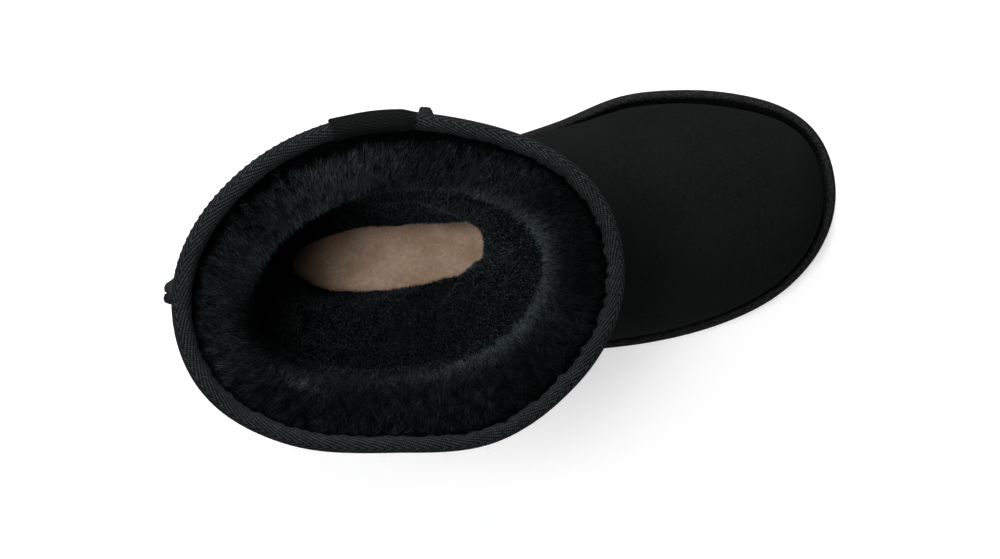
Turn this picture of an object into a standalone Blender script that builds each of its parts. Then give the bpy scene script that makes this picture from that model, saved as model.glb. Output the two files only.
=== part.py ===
"""A black pull-on sheepskin boot with a short shaft, for the right foot, piece by piece.

All sizes here are in millimetres: x runs forward from the heel end of the sole, y to the
inner side of the foot and z up from the floor. The finished objects are in metres, with
+X to the toe, +Y to the inner side, +Z up, and the origin on the floor under the middle.

The upper is a stack of rings. Each ring runs around the boot, and a place on it is a turn,
from 0 at the toe through 0.25 on the inner side and 0.5 at the heel. A level picks the
ring, from 0 at the edge that meets the sole to 1 at the collar. Everything that is sewn
to the upper or lies inside it is the same surface, moved in or out along its normal.
"""

import bmesh
import bpy
import numpy as np

METRES_PER_MM = 0.001

# Driving sizes.
SOLE_LENGTH = 263.0
SUEDE = 2.0
GAP = 0.3
LASTING_MARGIN = 10.0
INSOLE_THICKNESS = 6.4
INSOLE_CROWN = 2.0
BINDING_TAPE = 1.0
BINDING_OUTER_DROP = 9.0
BINDING_INNER_DROP = 8.0
SKIN_AT_COLLAR = 1.6
COUNTER_THICKNESS = 1.6
WIDEST_ABOVE_BED = 10.0
EDGE_TUCK = 1.8
VAMP_ROUNDNESS = 2.3

# The grid that every piece of the upper shares, and the step that measures its slopes.
TURNS = 40
LEVELS = 20
SLOPE_STEP = 0.002

# Lower edge of the upper, around the bottom of the last, measured back from its toe.
LAST_TOE_X = 257.0
LAST_HEEL_X = 6.0
LAST_EDGE_COLUMNS = ("from_toe", "half_width", "middle")
LAST_EDGE = (
    (0, 0.0, 4.5),
    (4, 16.8, 4.4),
    (12, 26.7, 3.1),
    (26, 35.4, 1.4),
    (50, 42.2, 0.4),
    (72, 44.0, -0.3),
    (100, 40.4, -3.2),
    (133, 35.3, -3.2),
    (172, 31.9, -1.4),
    (211, 30.8, -0.6),
    (235, 26.2, -0.4),
    (251, 0.0, -0.4),
)

# Height of the foot bed, and of the underside of the sole, along the boot.
SOLE_COLUMNS = ("x", "bed", "underside")
SOLE_SECTIONS = (
    (-2, 22.0, 4.0),
    (13, 21.6, 0.0),
    (48, 20.8, 0.0),
    (82, 19.5, 0.0),
    (110, 17.2, 2.4),
    (139, 15.2, 0.0),
    (175, 14.0, 0.0),
    (203, 14.4, 0.0),
    (235, 17.4, 3.6),
    (265, 23.0, 10.0),
)

# Rings of the upper: where each crosses the back line and the front line, how much of it
# belongs to the round shaft rather than to the foot, and the half width of that shaft.
RING_COLUMNS = ("back_x", "back_z", "front_x", "front_z", "shaft", "shaft_half")
RINGS = (
    (6.0, 22.0, 257.0, 21.3, 0.0, 40.0),
    (4.9, 27.0, 258.2, 26.3, 0.0, 40.0),
    (4.2, 32.0, 258.8, 31.3, 0.0, 40.0),
    (3.7, 40.5, 256.6, 40.0, 0.0, 40.5),
    (3.9, 50.0, 247.8, 50.3, 0.0, 41.2),
    (4.7, 60.0, 232.5, 58.6, 0.02, 42.4),
    (6.0, 70.5, 213.0, 65.2, 0.08, 43.8),
    (7.5, 81.5, 193.5, 72.2, 0.2, 45.2),
    (9.1, 93.5, 176.0, 81.8, 0.4, 46.5),
    (10.7, 107.0, 162.0, 95.6, 0.65, 47.8),
    (12.2, 121.5, 153.0, 113.0, 0.87, 49.0),
    (13.4, 137.5, 149.6, 133.0, 0.98, 50.3),
    (14.5, 157.0, 151.2, 156.0, 1.0, 51.7),
    (15.3, 182.5, 156.6, 182.5, 1.0, 53.4),
    (16.0, 210.0, 163.7, 210.0, 1.0, 55.2),
)

# The collar isn't a true oval: how far it stands out or in around its edge. This fades
# out down the shaft, from the collar to the level given.
COLLAR_COLUMNS = ("turn", "out")
COLLAR_SHAPE = (
    (0.0, -0.5),
    (0.08, 0.2),
    (0.18, -1.2),
    (0.25, 0.5),
    (0.31, 0.4),
    (0.38, -0.8),
    (0.5, -0.5),
    (0.59, 1.5),
    (0.65, 0.3),
    (0.73, -1.8),
    (0.8, 2.3),
    (0.87, 1.0),
    (1.0, -0.5),
)
COLLAR_SHAPE_FROM = 0.72

# The ring at the tip of the toe, below which the upper tucks in, and the ring from which
# the rings stop following the curve of the bed.
NOSE_RING = 2
BED_FOLLOWING_ENDS = 7
STEEP_ABOVE_INSTEP = 9.0

# Side of the sole, from its top edge to its tread edge: share of its height and how far
# it stands outside the lower edge of the upper.
SOLE_SIDE_COLUMNS = ("height", "out")
SOLE_SIDE = (
    (1.0, 5.0),
    (0.95, 5.9),
    (0.66, 5.9),
    (0.62, 5.0),
    (0.54, 5.0),
    (0.5, 6.0),
    (0.12, 5.7),
    (0.0, 4.4),
)

# Tread: grooves across the sole, bowed towards the toe. Each row of the table is a zone
# of evenly spaced ones, as its first x, its pitch and how many there are.
GROOVE_WIDTH = 5.0
GROOVE_DEPTH = 2.6
GROOVE_CORNER = 0.8
GROOVE_BOW = 7.0
GROOVE_BOW_ENDS = 3.0
GROOVE_STEPS = 6
GROOVE_HALF_SPAN = 70.0
CUTTER_FLOOR = -8.0
GROOVE_ZONES = (
    (20.0, 15.5, 5),
    (146.0, 14.5, 7),
)

# Rand, a rolled band that covers the joint of upper and sole, in section.
RAND_COLUMNS = ("out", "above_bed")
RAND_SECTION = (
    (0.3, 0.3),
    (5.2, 0.3),
    (6.1, 2.5),
    (6.1, 6.2),
    (5.2, 8.8),
    (3.9, 9.2),
    (3.1, 8.0),
    (2.5, 5.2),
    (1.0, 3.0),
)

# Wool pile, from the insole to the collar: its depth at the front, sides and back. It
# narrows the shaft to an oval under the collar, and fills out the throat and the waist.
FLEECE_COLUMNS = ("level", "front", "side", "back")
FLEECE = (
    (0.14, 9.0, 16.5, 37.0),
    (0.36, 9.5, 16.5, 36.0),
    (0.5, 24.0, 16.5, 31.5),
    (0.64, 33.0, 17.5, 26.0),
    (0.76, 29.0, 17.5, 21.5),
    (0.84, 18.5, 17.5, 18.5),
    (0.885, 10.5, 18.5, 19.0),
    (0.915, 9.6, 17.2, 17.5),
    (0.945, 7.0, 13.0, 13.0),
    (0.963, 4.0, 7.0, 7.0),
    (0.974, SKIN_AT_COLLAR, SKIN_AT_COLLAR, SKIN_AT_COLLAR),
    (1.0, SKIN_AT_COLLAR, SKIN_AT_COLLAR, SKIN_AT_COLLAR),
)
PILE_SIDE_POWER = 3.0
FLEECE_LOW_ROW = 3
FLEECE_TOP_LEVELS = (0.86, 0.888, 0.915, 0.94, 0.96, 0.974)

# Low in the heel the pile closes to a point: how fast that sets in behind the middle, how
# much it adds beside the heel, the most of the half width it may fill, the line that it
# closes on, and the level where it has faded out and how far below that it is full.
HEEL_SHARE_RISE = 2.0
HEEL_PINCH = 1.25
HEEL_MOST = 0.8
HEEL_MIDDLE = -0.5
HEEL_FADE_TOP = 0.8
HEEL_FADE = 0.3

# Locks of wool on its face: how deep and how many around, in tiers from a level up.
LOCK_DEPTH = 1.5
LOCKS_AROUND = 22
LOCK_TIERS = 3.0
LOCKS_START = 0.62

# Raised seams: name, side of the boot, how far forward each is at the bottom and at the
# top, the level it starts from, width and height. The back seam has no place along the
# boot: it runs up the heel, a little to the inner side.
SEAMS = (
    ("medial_seam", 1, 121.0, 106.4, 0.17, 4.2, 4.0),
    ("lateral_seam", -1, 121.0, 106.4, 0.17, 4.2, 2.6),
    ("back_seam", 1, 0.0, 0.0, 0.53, 6.6, 4.4),
)
BACK_SEAM_TURN = 0.477
SEAM_STATIONS = 15
SEAM_SEAT = 0.5
SEAM_SWEEP = 1.6

# Section of a raised seam, as shares of its width and of its height.
SEAM_SECTION_COLUMNS = ("across", "up")
SEAM_SECTION = (
    (-0.5, 0.7),
    (-0.36, 0.95),
    (0.0, 1.0),
    (0.36, 0.95),
    (0.5, 0.7),
)

# Heel counter: half its reach around the heel in turns, and its upper edge.
COUNTER_REACH = 0.175
COUNTER_LOW_LEVEL = 0.17
COUNTER_SIDE_LEVEL = 0.2
COUNTER_TOP_LEVEL = 0.5

# The overlapped ends of the collar tape, on the inner side, as places on the shared grid.
JOIN_PLACES = (9, 10, 11)

BLACK_SUEDE = (0.0045, 0.0045, 0.005, 1.0)
BLACK_TAPE = (0.006, 0.006, 0.007, 1.0)
BLACK_FOAM = (0.008, 0.008, 0.009, 1.0)
BLACK_WOOL = (0.005, 0.005, 0.006, 1.0)
NATURAL_WOOL = (0.36, 0.23, 0.15, 1.0)


def column(table, names, name):
    """One named column of a table, as numbers."""
    place = names.index(name)
    return np.array([row[place] for row in table], dtype=float)


def smooth(knots, values, at):
    """A smooth curve through the values at the knots, read at the given places."""
    at = np.asarray(at, dtype=float)
    slopes = np.gradient(values, knots, edge_order=2)
    first = np.clip(np.searchsorted(knots, at) - 1, 0, len(knots) - 2)
    span = knots[first + 1] - knots[first]
    t = np.clip((at - knots[first]) / span, 0.0, 1.0)
    rise = values[first + 1] - values[first]
    start = slopes[first] * span
    end = slopes[first + 1] * span
    return values[first] + t * (start + t * (3 * rise - 2 * start - end + t * (start + end - 2 * rise)))


def angle_of(share):
    """The angle whose cosine spreads a share of a length: pi at 0 and zero at 1."""
    return np.arccos(np.clip(2.0 * share - 1.0, -1.0, 1.0))


LAST_ANGLES = angle_of(1.0 - column(LAST_EDGE, LAST_EDGE_COLUMNS, "from_toe") / (LAST_TOE_X - LAST_HEEL_X))
LAST_HALVES = column(LAST_EDGE, LAST_EDGE_COLUMNS, "half_width")
LAST_MIDDLES = column(LAST_EDGE, LAST_EDGE_COLUMNS, "middle")
SOLE_X = column(SOLE_SECTIONS, SOLE_COLUMNS, "x")
COLLAR_TURNS = column(COLLAR_SHAPE, COLLAR_COLUMNS, "turn")
COLLAR_OUTS = column(COLLAR_SHAPE, COLLAR_COLUMNS, "out")
BED_Z = column(SOLE_SECTIONS, SOLE_COLUMNS, "bed")
UNDERSIDE_Z = column(SOLE_SECTIONS, SOLE_COLUMNS, "underside")
RING_LEVELS = np.linspace(0.0, 1.0, len(RINGS))
RING = {name: column(RINGS, RING_COLUMNS, name) for name in RING_COLUMNS}
NOSE_LEVEL = RING_LEVELS[NOSE_RING]
NOSE_X = RING["front_x"][NOSE_RING]
COLLAR_Z = RING["front_z"][-1]


def bed(x):
    """Height of the foot bed, the top of the sole."""
    return smooth(SOLE_X, BED_Z, x)


def underside(x):
    """Height of the underside of the sole: flat under the heel and the ball of the foot."""
    return np.interp(x, SOLE_X, UNDERSIDE_Z)


def ring_value(name, level):
    """A ring column at any level."""
    return smooth(RING_LEVELS, RING[name], level)


def front_line():
    """The front line of the boot over the toe, as x and height, with x rising."""
    levels = np.linspace(NOSE_LEVEL, RING_LEVELS[11], 300)
    x = ring_value("front_x", levels)
    z = ring_value("front_z", levels)
    return x[::-1], z[::-1]


FRONT_X, FRONT_Z = front_line()


def vamp_top(x):
    """Height of the front line over a place along the foot, open behind the instep."""
    behind = np.clip(FRONT_X[0] - x, 0.0, None)
    return np.interp(x, FRONT_X, FRONT_Z) + STEEP_ABOVE_INSTEP * behind


def foot_half_width(share, x, z):
    """Half width of the foot part of the upper at a height over the bed."""
    half = smooth(LAST_ANGLES, LAST_HALVES, angle_of(share))
    widest = bed(x) + WIDEST_ABOVE_BED
    room = np.maximum(vamp_top(x) - widest, 0.5)
    up = np.clip((z - widest) / room, 0.0, 1.0)
    dome = (1.0 - up**VAMP_ROUNDNESS) ** (1.0 / VAMP_ROUNDNESS)
    down = np.clip((widest - z) / WIDEST_ABOVE_BED, 0.0, 1.0)
    full = half * (1.0 + EDGE_TUCK / LAST_HALVES.max())
    return (full - (full - half) * down**2) * dome


def upper_point(turn, level):
    """A point on the outside of the upper."""
    turn, level = np.broadcast_arrays(np.asarray(turn, float), np.asarray(level, float))
    around = 2.0 * np.pi * turn
    share = (1.0 + np.cos(around)) / 2.0
    side = np.where(np.sin(around) >= 0.0, 1.0, -1.0)
    back_x = ring_value("back_x", level)
    front_x = ring_value("front_x", level)
    x = back_x + (front_x - back_x) * share
    back_z = ring_value("back_z", level)
    front_z = ring_value("front_z", level)
    straight_bed = bed(back_x) + (bed(front_x) - bed(back_x)) * share
    follow = np.clip(1.0 - level / RING_LEVELS[BED_FOLLOWING_ENDS], 0.0, 1.0)
    follow = follow * follow * (3.0 - 2.0 * follow)
    z = back_z + (front_z - back_z) * share + (bed(x) - straight_bed) * follow
    toe_end = np.where(level <= NOSE_LEVEL, front_x, NOSE_X)
    along_last = (x - back_x) / (toe_end - back_x)
    shaft = ring_value("shaft", level)
    foot_half = foot_half_width(along_last, x, z)
    shaft_half = ring_value("shaft_half", level) * np.abs(np.sin(around))
    middle = smooth(LAST_ANGLES, LAST_MIDDLES, angle_of(along_last)) * (1.0 - shaft)
    y = middle + side * (foot_half * (1.0 - shaft) + shaft_half * shaft)
    push = smooth(COLLAR_TURNS, COLLAR_OUTS, turn % 1.0)
    push = push * np.clip((level - COLLAR_SHAPE_FROM) / (1.0 - COLLAR_SHAPE_FROM), 0.0, 1.0) ** 2
    return np.stack([x + push * np.cos(around), y + push * np.sin(around), z], axis=-1)


def turn_at(x, level):
    """The turn on the inner side where a ring has reached a place along the boot."""
    back_x = ring_value("back_x", level)
    front_x = ring_value("front_x", level)
    return angle_of((x - back_x) / (front_x - back_x)) / (2.0 * np.pi)


def direction_around(turn, level):
    """A short way around the upper from a place on it."""
    turn = np.asarray(turn, float)
    return upper_point(turn + SLOPE_STEP, level) - upper_point(turn - SLOPE_STEP, level)


def upper_normal(turn, level):
    """The outward normal of the upper."""
    low = np.clip(np.asarray(level, float) - SLOPE_STEP, 0.0, 1.0)
    high = np.clip(np.asarray(level, float) + SLOPE_STEP, 0.0, 1.0)
    up = upper_point(turn, high) - upper_point(turn, low)
    normal = np.cross(direction_around(turn, level), up)
    return normal / np.linalg.norm(normal, axis=-1, keepdims=True)


def upper_offset(turn, level, out):
    """A point at a distance outside the upper, or inside it where that is negative."""
    out = np.asarray(out, float)[..., None]
    return upper_point(turn, level) + upper_normal(turn, level) * out


def last_edge(turn, out, above_bed):
    """A point by the lower edge of the upper, moved out level and up from the bed."""
    point = upper_point(turn, 0.0)
    along = direction_around(turn, 0.0)
    outward = np.stack([along[..., 1], -along[..., 0]], axis=-1)
    outward = outward / np.linalg.norm(outward, axis=-1, keepdims=True)
    plan = point[..., :2] + outward * out
    z = bed(plan[..., 0]) + above_bed
    return np.concatenate([plan, z[..., None]], axis=-1)


def turns_around():
    """The turns of the shared grid."""
    return np.arange(TURNS) / TURNS


def shared_levels():
    """The levels of the shared grid."""
    return np.linspace(0.0, 1.0, LEVELS)


def level_under_collar(drop):
    """The level of the ring that lies a distance below the collar."""
    levels = np.linspace(RING_LEVELS[-4], 1.0, 200)
    return float(np.interp(COLLAR_Z - drop, ring_value("front_z", levels), levels))


def new_object(name, points, faces, material):
    """An object from points in millimetres and faces, with its material."""
    mesh = bpy.data.meshes.new(name)
    shift = np.array([SOLE_LENGTH / 2.0, 0.0, 0.0])
    metres = (np.asarray(points) - shift) * METRES_PER_MM
    mesh.from_pydata(metres.tolist(), [], faces)
    mesh.validate()
    work = bmesh.new()
    work.from_mesh(mesh)
    bmesh.ops.recalc_face_normals(work, faces=work.faces)
    work.to_mesh(mesh)
    work.free()
    mesh.shade_smooth()
    thing = bpy.data.objects.new(name, mesh)
    thing.data.materials.append(material)
    return thing


def band_faces(rows, count, closed_rows=False, closed_turns=True):
    """Triangles of a grid of rows of points. All grids split their quads the same way."""
    row_steps = rows if closed_rows else rows - 1
    turn_steps = count if closed_turns else count - 1
    faces = []
    for row in range(row_steps):
        for place in range(turn_steps):
            here = row * count
            above = ((row + 1) % rows) * count
            after = (place + 1) % count
            faces.append((here + place, here + after, above + after))
            faces.append((here + place, above + after, above + place))
    return faces


def ladder_cap(start, count):
    """Faces that close a ring of points straight across, from the toe to the heel."""
    half = count // 2
    faces = [(start, start + 1, start + count - 1)]
    for place in range(1, half - 1):
        faces.append((start + place, start + place + 1, start + count - place - 1, start + count - place))
    faces.append((start + half - 1, start + half, start + half + 1))
    return faces


def tube_around(name, rows, material):
    """A ring-shaped solid: its section's points, each carried once around the boot."""
    points = np.concatenate(rows)
    faces = band_faces(len(rows), TURNS, closed_rows=True)
    return new_object(name, points, faces, material)


def stacked_solid(name, rows, material):
    """A solid of rings from bottom to top, closed across both ends."""
    points = np.concatenate(rows)
    faces = band_faces(len(rows), TURNS)
    faces += ladder_cap(0, TURNS)
    faces += ladder_cap((len(rows) - 1) * TURNS, TURNS)
    return new_object(name, points, faces, material)


def slab(name, outer, inner, material):
    """A solid between two open grids of the same size."""
    rows, count = outer.shape[:2]
    points = np.concatenate([outer.reshape(-1, 3), inner.reshape(-1, 3)])
    faces = band_faces(rows, count, closed_turns=False)
    faces += [tuple(rows * count + corner for corner in face) for face in faces]
    border = [place for place in range(count)]
    border += [row * count + count - 1 for row in range(1, rows)]
    border += [(rows - 1) * count + place for place in range(count - 2, -1, -1)]
    border += [row * count for row in range(rows - 2, 0, -1)]
    for place, corner in enumerate(border):
        after = border[(place + 1) % len(border)]
        faces.append((corner, after, after + rows * count, corner + rows * count))
    return new_object(name, points, faces, material)


def principled(name, colour, roughness):
    """A plain material of one colour."""
    material = bpy.data.materials.new(name)
    material.use_nodes = True
    shader = material.node_tree.nodes["Principled BSDF"]
    shader.inputs["Base Color"].default_value = colour
    shader.inputs["Roughness"].default_value = roughness
    shader.inputs["Metallic"].default_value = 0.0
    return material


def build_upper(material):
    """The hollow suede upper, turned in under the insole by its lasting margin."""
    turns = turns_around()
    levels = shared_levels()
    rows = [last_edge(turns, -LASTING_MARGIN, GAP), last_edge(turns, 0.0, GAP)]
    rows += [upper_point(turns, level) for level in levels[1:]]
    rows += [upper_offset(turns, level, -SUEDE) for level in levels[:0:-1]]
    rows += [
        last_edge(turns, -SUEDE, GAP + SUEDE),
        last_edge(turns, -LASTING_MARGIN, GAP + SUEDE),
    ]
    return tube_around("upper", rows, material)


def build_insole(material):
    """The wool insole, which fills the bottom of the upper over the lasting margin."""
    turns = turns_around()
    low = GAP + SUEDE + GAP
    high = low + INSOLE_THICKNESS
    inside = -(SUEDE + 2 * GAP)
    rows = [
        last_edge(turns, inside - 0.8, low),
        last_edge(turns, inside, low + 1.0),
        last_edge(turns, inside, high - 1.6),
        last_edge(turns, inside - 1.6, high),
        last_edge(turns, inside - 14.0, high + 0.2),
        last_edge(turns, inside - 22.0, high + INSOLE_CROWN),
    ]
    return stacked_solid("insole", rows, material)


def build_sole_body(material):
    """The sole unit before its tread is cut."""
    turns = turns_around()
    heights = column(SOLE_SIDE, SOLE_SIDE_COLUMNS, "height")
    outs = column(SOLE_SIDE, SOLE_SIDE_COLUMNS, "out")
    rows = []
    for share, out in zip(heights[::-1], outs[::-1]):
        ring = last_edge(turns, out, 0.0)
        low = underside(ring[:, 0])
        ring[:, 2] = low + (ring[:, 2] - low) * share
        rows.append(ring)
    return stacked_solid("outsole", rows, material)


def groove_cutter(place, middle_x, material):
    """A bar bowed towards the toe, which cuts one groove right across the tread."""
    across = np.linspace(-GROOVE_HALF_SPAN, GROOVE_HALF_SPAN, GROOVE_STEPS + 1)
    bow = GROOVE_BOW * (1.0 - (across / GROOVE_HALF_SPAN) ** 2 * GROOVE_BOW_ENDS)
    roof = float(underside(middle_x)) + GROOVE_DEPTH
    half = GROOVE_WIDTH / 2
    section = (
        (-half, CUTTER_FLOOR),
        (-half, roof - GROOVE_CORNER),
        (-half + GROOVE_CORNER, roof),
        (half - GROOVE_CORNER, roof),
        (half, roof - GROOVE_CORNER),
        (half, CUTTER_FLOOR),
    )
    rows = []
    for y, ahead in zip(across, bow):
        rows.append([(middle_x + ahead + dx, y, z) for dx, z in section])
    size = len(section)
    faces = band_faces(len(rows), size)
    faces.append(tuple(range(size)))
    faces.append(tuple(range((len(rows) - 1) * size, len(rows) * size)))
    return new_object(f"groove_{place}", np.array(rows).reshape(-1, 3), faces, material)


def build_outsole(material, cutters):
    """The sole unit with its tread grooves."""
    sole = build_sole_body(material)
    place = 0
    for first_x, pitch, count in GROOVE_ZONES:
        for number in range(count):
            cutter = groove_cutter(place, first_x + pitch * number, material)
            cutter.hide_render = True
            cutter.display_type = "WIRE"
            cutters.objects.link(cutter)
            place += 1
    cut = sole.modifiers.new("tread", "BOOLEAN")
    cut.operation = "DIFFERENCE"
    cut.operand_type = "COLLECTION"
    cut.collection = cutters
    cut.solver = "EXACT"
    return sole


def build_rand(material):
    """The rolled band around the joint of upper and sole."""
    turns = turns_around()
    outs = column(RAND_SECTION, RAND_COLUMNS, "out")
    aboves = column(RAND_SECTION, RAND_COLUMNS, "above_bed")
    rows = [last_edge(turns, out, above) for out, above in zip(outs, aboves)]
    return tube_around("rand", rows, material)


def pile_shift(turns, level):
    """How the face of the wool is moved in from the skin, as vectors.

    It moves along the normal of the upper. Low down behind, it moves straight in along
    the boot and across it instead, which keeps the narrow heel from folding over itself.
    """
    knots = column(FLEECE, FLEECE_COLUMNS, "level")
    front = np.interp(level, knots, column(FLEECE, FLEECE_COLUMNS, "front"))
    beside = np.interp(level, knots, column(FLEECE, FLEECE_COLUMNS, "side"))
    behind = np.interp(level, knots, column(FLEECE, FLEECE_COLUMNS, "back"))
    around = 2.0 * np.pi * turns
    forward, across = np.cos(around), np.sin(around)
    locks = LOCK_DEPTH * lock_form(turns, level)
    lengthwise = np.where(forward > 0.0, front, behind)
    sideways = np.abs(across) ** PILE_SIDE_POWER
    depth = lengthwise * (1.0 - sideways) + beside * sideways + locks
    by_normal = upper_normal(turns, level) * depth[:, None]
    heel = np.clip(-forward * HEEL_SHARE_RISE, 0.0, 1.0)
    low = np.clip((HEEL_FADE_TOP - level) / HEEL_FADE, 0.0, 1.0)
    heel = heel * heel * (3.0 - 2.0 * heel) * low
    half = np.abs(upper_point(turns, level)[:, 1] - HEEL_MIDDLE)
    inward = np.minimum((HEEL_PINCH * beside + locks) * np.sqrt(np.abs(across)), HEEL_MOST * half)
    axis_shift = [(behind + locks) * forward, inward * np.sign(across), np.zeros_like(forward)]
    by_axes = np.stack(axis_shift, axis=-1)
    return by_normal * (1.0 - heel[:, None]) + by_axes * heel[:, None]


def lock_form(turns, level):
    """How far the locks of wool stand out of the pile, from 0 between them to 1."""
    start = np.clip((level - LOCKS_START) / (1.0 - LOCKS_START), 0.0, 1.0)
    tier = start * LOCK_TIERS
    shift = 0.5 * (int(tier) % 2)
    fall = 1.0 - tier % 1.0
    across = np.abs(np.cos(np.pi * (turns * LOCKS_AROUND + shift)))
    fade = np.sin(np.pi * np.clip(start * 1.1, 0.0, 1.0))
    return across * (0.35 + 0.65 * fall) * fade


def build_fleece(material):
    """The wool lining, a deep pile that narrows the shaft to an oval and ends in locks."""
    turns = turns_around()
    shared = shared_levels()[FLEECE_LOW_ROW:]
    shared = shared[shared < FLEECE_TOP_LEVELS[0]]
    levels = np.concatenate([shared, FLEECE_TOP_LEVELS, [level_under_collar(GAP)]])
    backing = -(SUEDE + GAP)
    inner = []
    for level in levels:
        inner.append(upper_offset(turns, level, backing) - pile_shift(turns, level))
    outer = [upper_offset(turns, level, backing) for level in levels[::-1]]
    return tube_around("fleece_lining", inner + outer, material)


def binding_section(extra):
    """Section of the folded collar tape as drop below the collar and distance out."""
    face = GAP + BINDING_TAPE + extra
    inside = -(SUEDE + GAP + SKIN_AT_COLLAR + GAP)
    back = inside - BINDING_TAPE - extra
    top = -(GAP + BINDING_TAPE + extra)
    return face, inside, back, top


def collar_ring(turns, drop, out):
    """A ring of the collar tape, below the collar or above it where drop is negative."""
    level = level_under_collar(max(drop, 0.0))
    ring = upper_offset(turns, level, out)
    ring[..., 2] += max(-drop, 0.0)
    return ring


def build_binding(material):
    """The tape folded over the edge of suede and sheepskin."""
    turns = turns_around()
    face, inside, back, top = binding_section(0.0)
    section = (
        (BINDING_OUTER_DROP, GAP),
        (BINDING_OUTER_DROP, face),
        (1.2, face),
        (top * 0.7, face - 0.7),
        (top, -2.2),
        (top * 0.7, back + 0.8),
        (1.2, back),
        (BINDING_INNER_DROP, back),
        (BINDING_INNER_DROP, inside),
        (-GAP, inside),
        (-GAP, GAP),
    )
    rows = [collar_ring(turns, drop, out) for drop, out in section]
    return tube_around("collar_binding", rows, material)


def build_binding_join(material):
    """The second layer of tape where its ends overlap."""
    turns = np.array(JOIN_PLACES) / TURNS
    face, inside, back, top = binding_section(GAP)
    outer_face, _, outer_back, outer_top = binding_section(GAP + BINDING_TAPE)
    outer_path = (
        (BINDING_OUTER_DROP, outer_face),
        (1.2, outer_face),
        (outer_top * 0.8, outer_face - 0.8),
        (outer_top, -2.2),
        (outer_top * 0.8, outer_back + 0.9),
        (1.2, outer_back),
        (BINDING_INNER_DROP, outer_back),
    )
    inner_path = (
        (BINDING_OUTER_DROP, face),
        (1.2, face),
        (top * 0.8, face - 0.5),
        (top, -2.2),
        (top * 0.8, back + 0.5),
        (1.2, back),
        (BINDING_INNER_DROP, back),
    )
    outer = np.array([collar_ring(turns, drop, out) for drop, out in outer_path])
    inner = np.array([collar_ring(turns, drop, out) for drop, out in inner_path])
    return slab("binding_join", outer, inner, material)


def build_counter(material):
    """The heel counter, a second layer of suede with an arched upper edge."""
    turns = turns_around()
    turns = turns[np.abs(turns - 0.5) <= COUNTER_REACH + 1e-6]
    reach = np.abs(turns - 0.5) / np.abs(turns - 0.5).max()
    tops = COUNTER_SIDE_LEVEL + (COUNTER_TOP_LEVEL - COUNTER_SIDE_LEVEL) * np.cos(reach * np.pi / 2) ** 0.8
    outer, inner = [], []
    for share in np.linspace(0.0, 1.0, 8):
        levels = COUNTER_LOW_LEVEL + (tops - COUNTER_LOW_LEVEL) * share
        edge = 0.55 if share in (0.0, 1.0) else 1.0
        outer.append(upper_offset(turns, levels, GAP + COUNTER_THICKNESS * edge))
        inner.append(upper_offset(turns, levels, GAP))
    return slab("heel_counter", np.array(outer), np.array(inner), material)


def build_seam(row, material):
    """A raised seam: two edges sewn together outwards, standing along the shaft."""
    name, side, low_x, top_x, low_level, width, height = row
    top_level = level_under_collar(BINDING_OUTER_DROP + GAP)
    levels = np.linspace(low_level, top_level, SEAM_STATIONS)
    share = np.linspace(0.0, 1.0, SEAM_STATIONS)
    if name == "back_seam":
        turns = np.full(SEAM_STATIONS, BACK_SEAM_TURN)
    else:
        x = top_x + (low_x - top_x) * (1.0 - share) ** SEAM_SWEEP
        turns = side * turn_at(x, levels)
    per_turn = np.linalg.norm(direction_around(turns, levels), axis=-1) / (2.0 * SLOPE_STEP)
    across = column(SEAM_SECTION, SEAM_SECTION_COLUMNS, "across")
    ups = column(SEAM_SECTION, SEAM_SECTION_COLUMNS, "up")
    places = [turns + share_across * width / per_turn for share_across in across]
    outer = [upper_offset(place, levels, height * up) for place, up in zip(places, ups)]
    inner = [upper_offset(place, levels, SEAM_SEAT) for place in places]
    return slab(name, np.array(outer), np.array(inner), material)


def main():
    """Builds the boot."""
    for thing in list(bpy.data.objects):
        bpy.data.objects.remove(thing)
    boot = bpy.data.collections.new("sheepskin_boot")
    cutters = bpy.data.collections.new("cutters")
    bpy.context.scene.collection.children.link(boot)
    bpy.context.scene.collection.children.link(cutters)
    suede = principled("black_suede", BLACK_SUEDE, 0.9)
    tape = principled("black_tape", BLACK_TAPE, 0.8)
    foam = principled("black_foam", BLACK_FOAM, 0.75)
    black_wool = principled("black_wool", BLACK_WOOL, 0.9)
    natural_wool = principled("natural_wool", NATURAL_WOOL, 0.95)
    pieces = [
        build_outsole(foam, cutters),
        build_rand(tape),
        build_upper(suede),
        build_insole(natural_wool),
        build_fleece(black_wool),
        build_binding(tape),
        build_binding_join(tape),
        build_counter(suede),
    ]
    pieces += [build_seam(row, suede) for row in SEAMS]
    for piece in pieces:
        boot.objects.link(piece)


main()
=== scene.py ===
import bmesh
import bpy
import numpy as np
from mathutils import Matrix


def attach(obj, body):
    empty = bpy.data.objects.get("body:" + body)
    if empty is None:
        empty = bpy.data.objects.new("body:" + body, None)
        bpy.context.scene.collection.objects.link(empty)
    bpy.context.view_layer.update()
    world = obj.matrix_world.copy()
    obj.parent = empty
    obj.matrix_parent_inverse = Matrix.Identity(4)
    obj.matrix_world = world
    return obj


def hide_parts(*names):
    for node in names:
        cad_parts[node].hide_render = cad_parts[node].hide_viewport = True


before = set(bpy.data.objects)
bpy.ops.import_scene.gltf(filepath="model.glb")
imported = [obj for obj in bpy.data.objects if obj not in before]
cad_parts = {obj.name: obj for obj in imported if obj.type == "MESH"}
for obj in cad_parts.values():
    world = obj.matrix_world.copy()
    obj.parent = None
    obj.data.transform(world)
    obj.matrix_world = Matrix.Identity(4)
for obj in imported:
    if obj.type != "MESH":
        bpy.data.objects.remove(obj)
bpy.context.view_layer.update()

METRES_PER_MM = 0.001
BODY = "root"


def table(names, *rows):
    """A table as its columns, each an array under its name."""
    return dict(zip(names.split(), np.array(rows, dtype=float).T))


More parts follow.
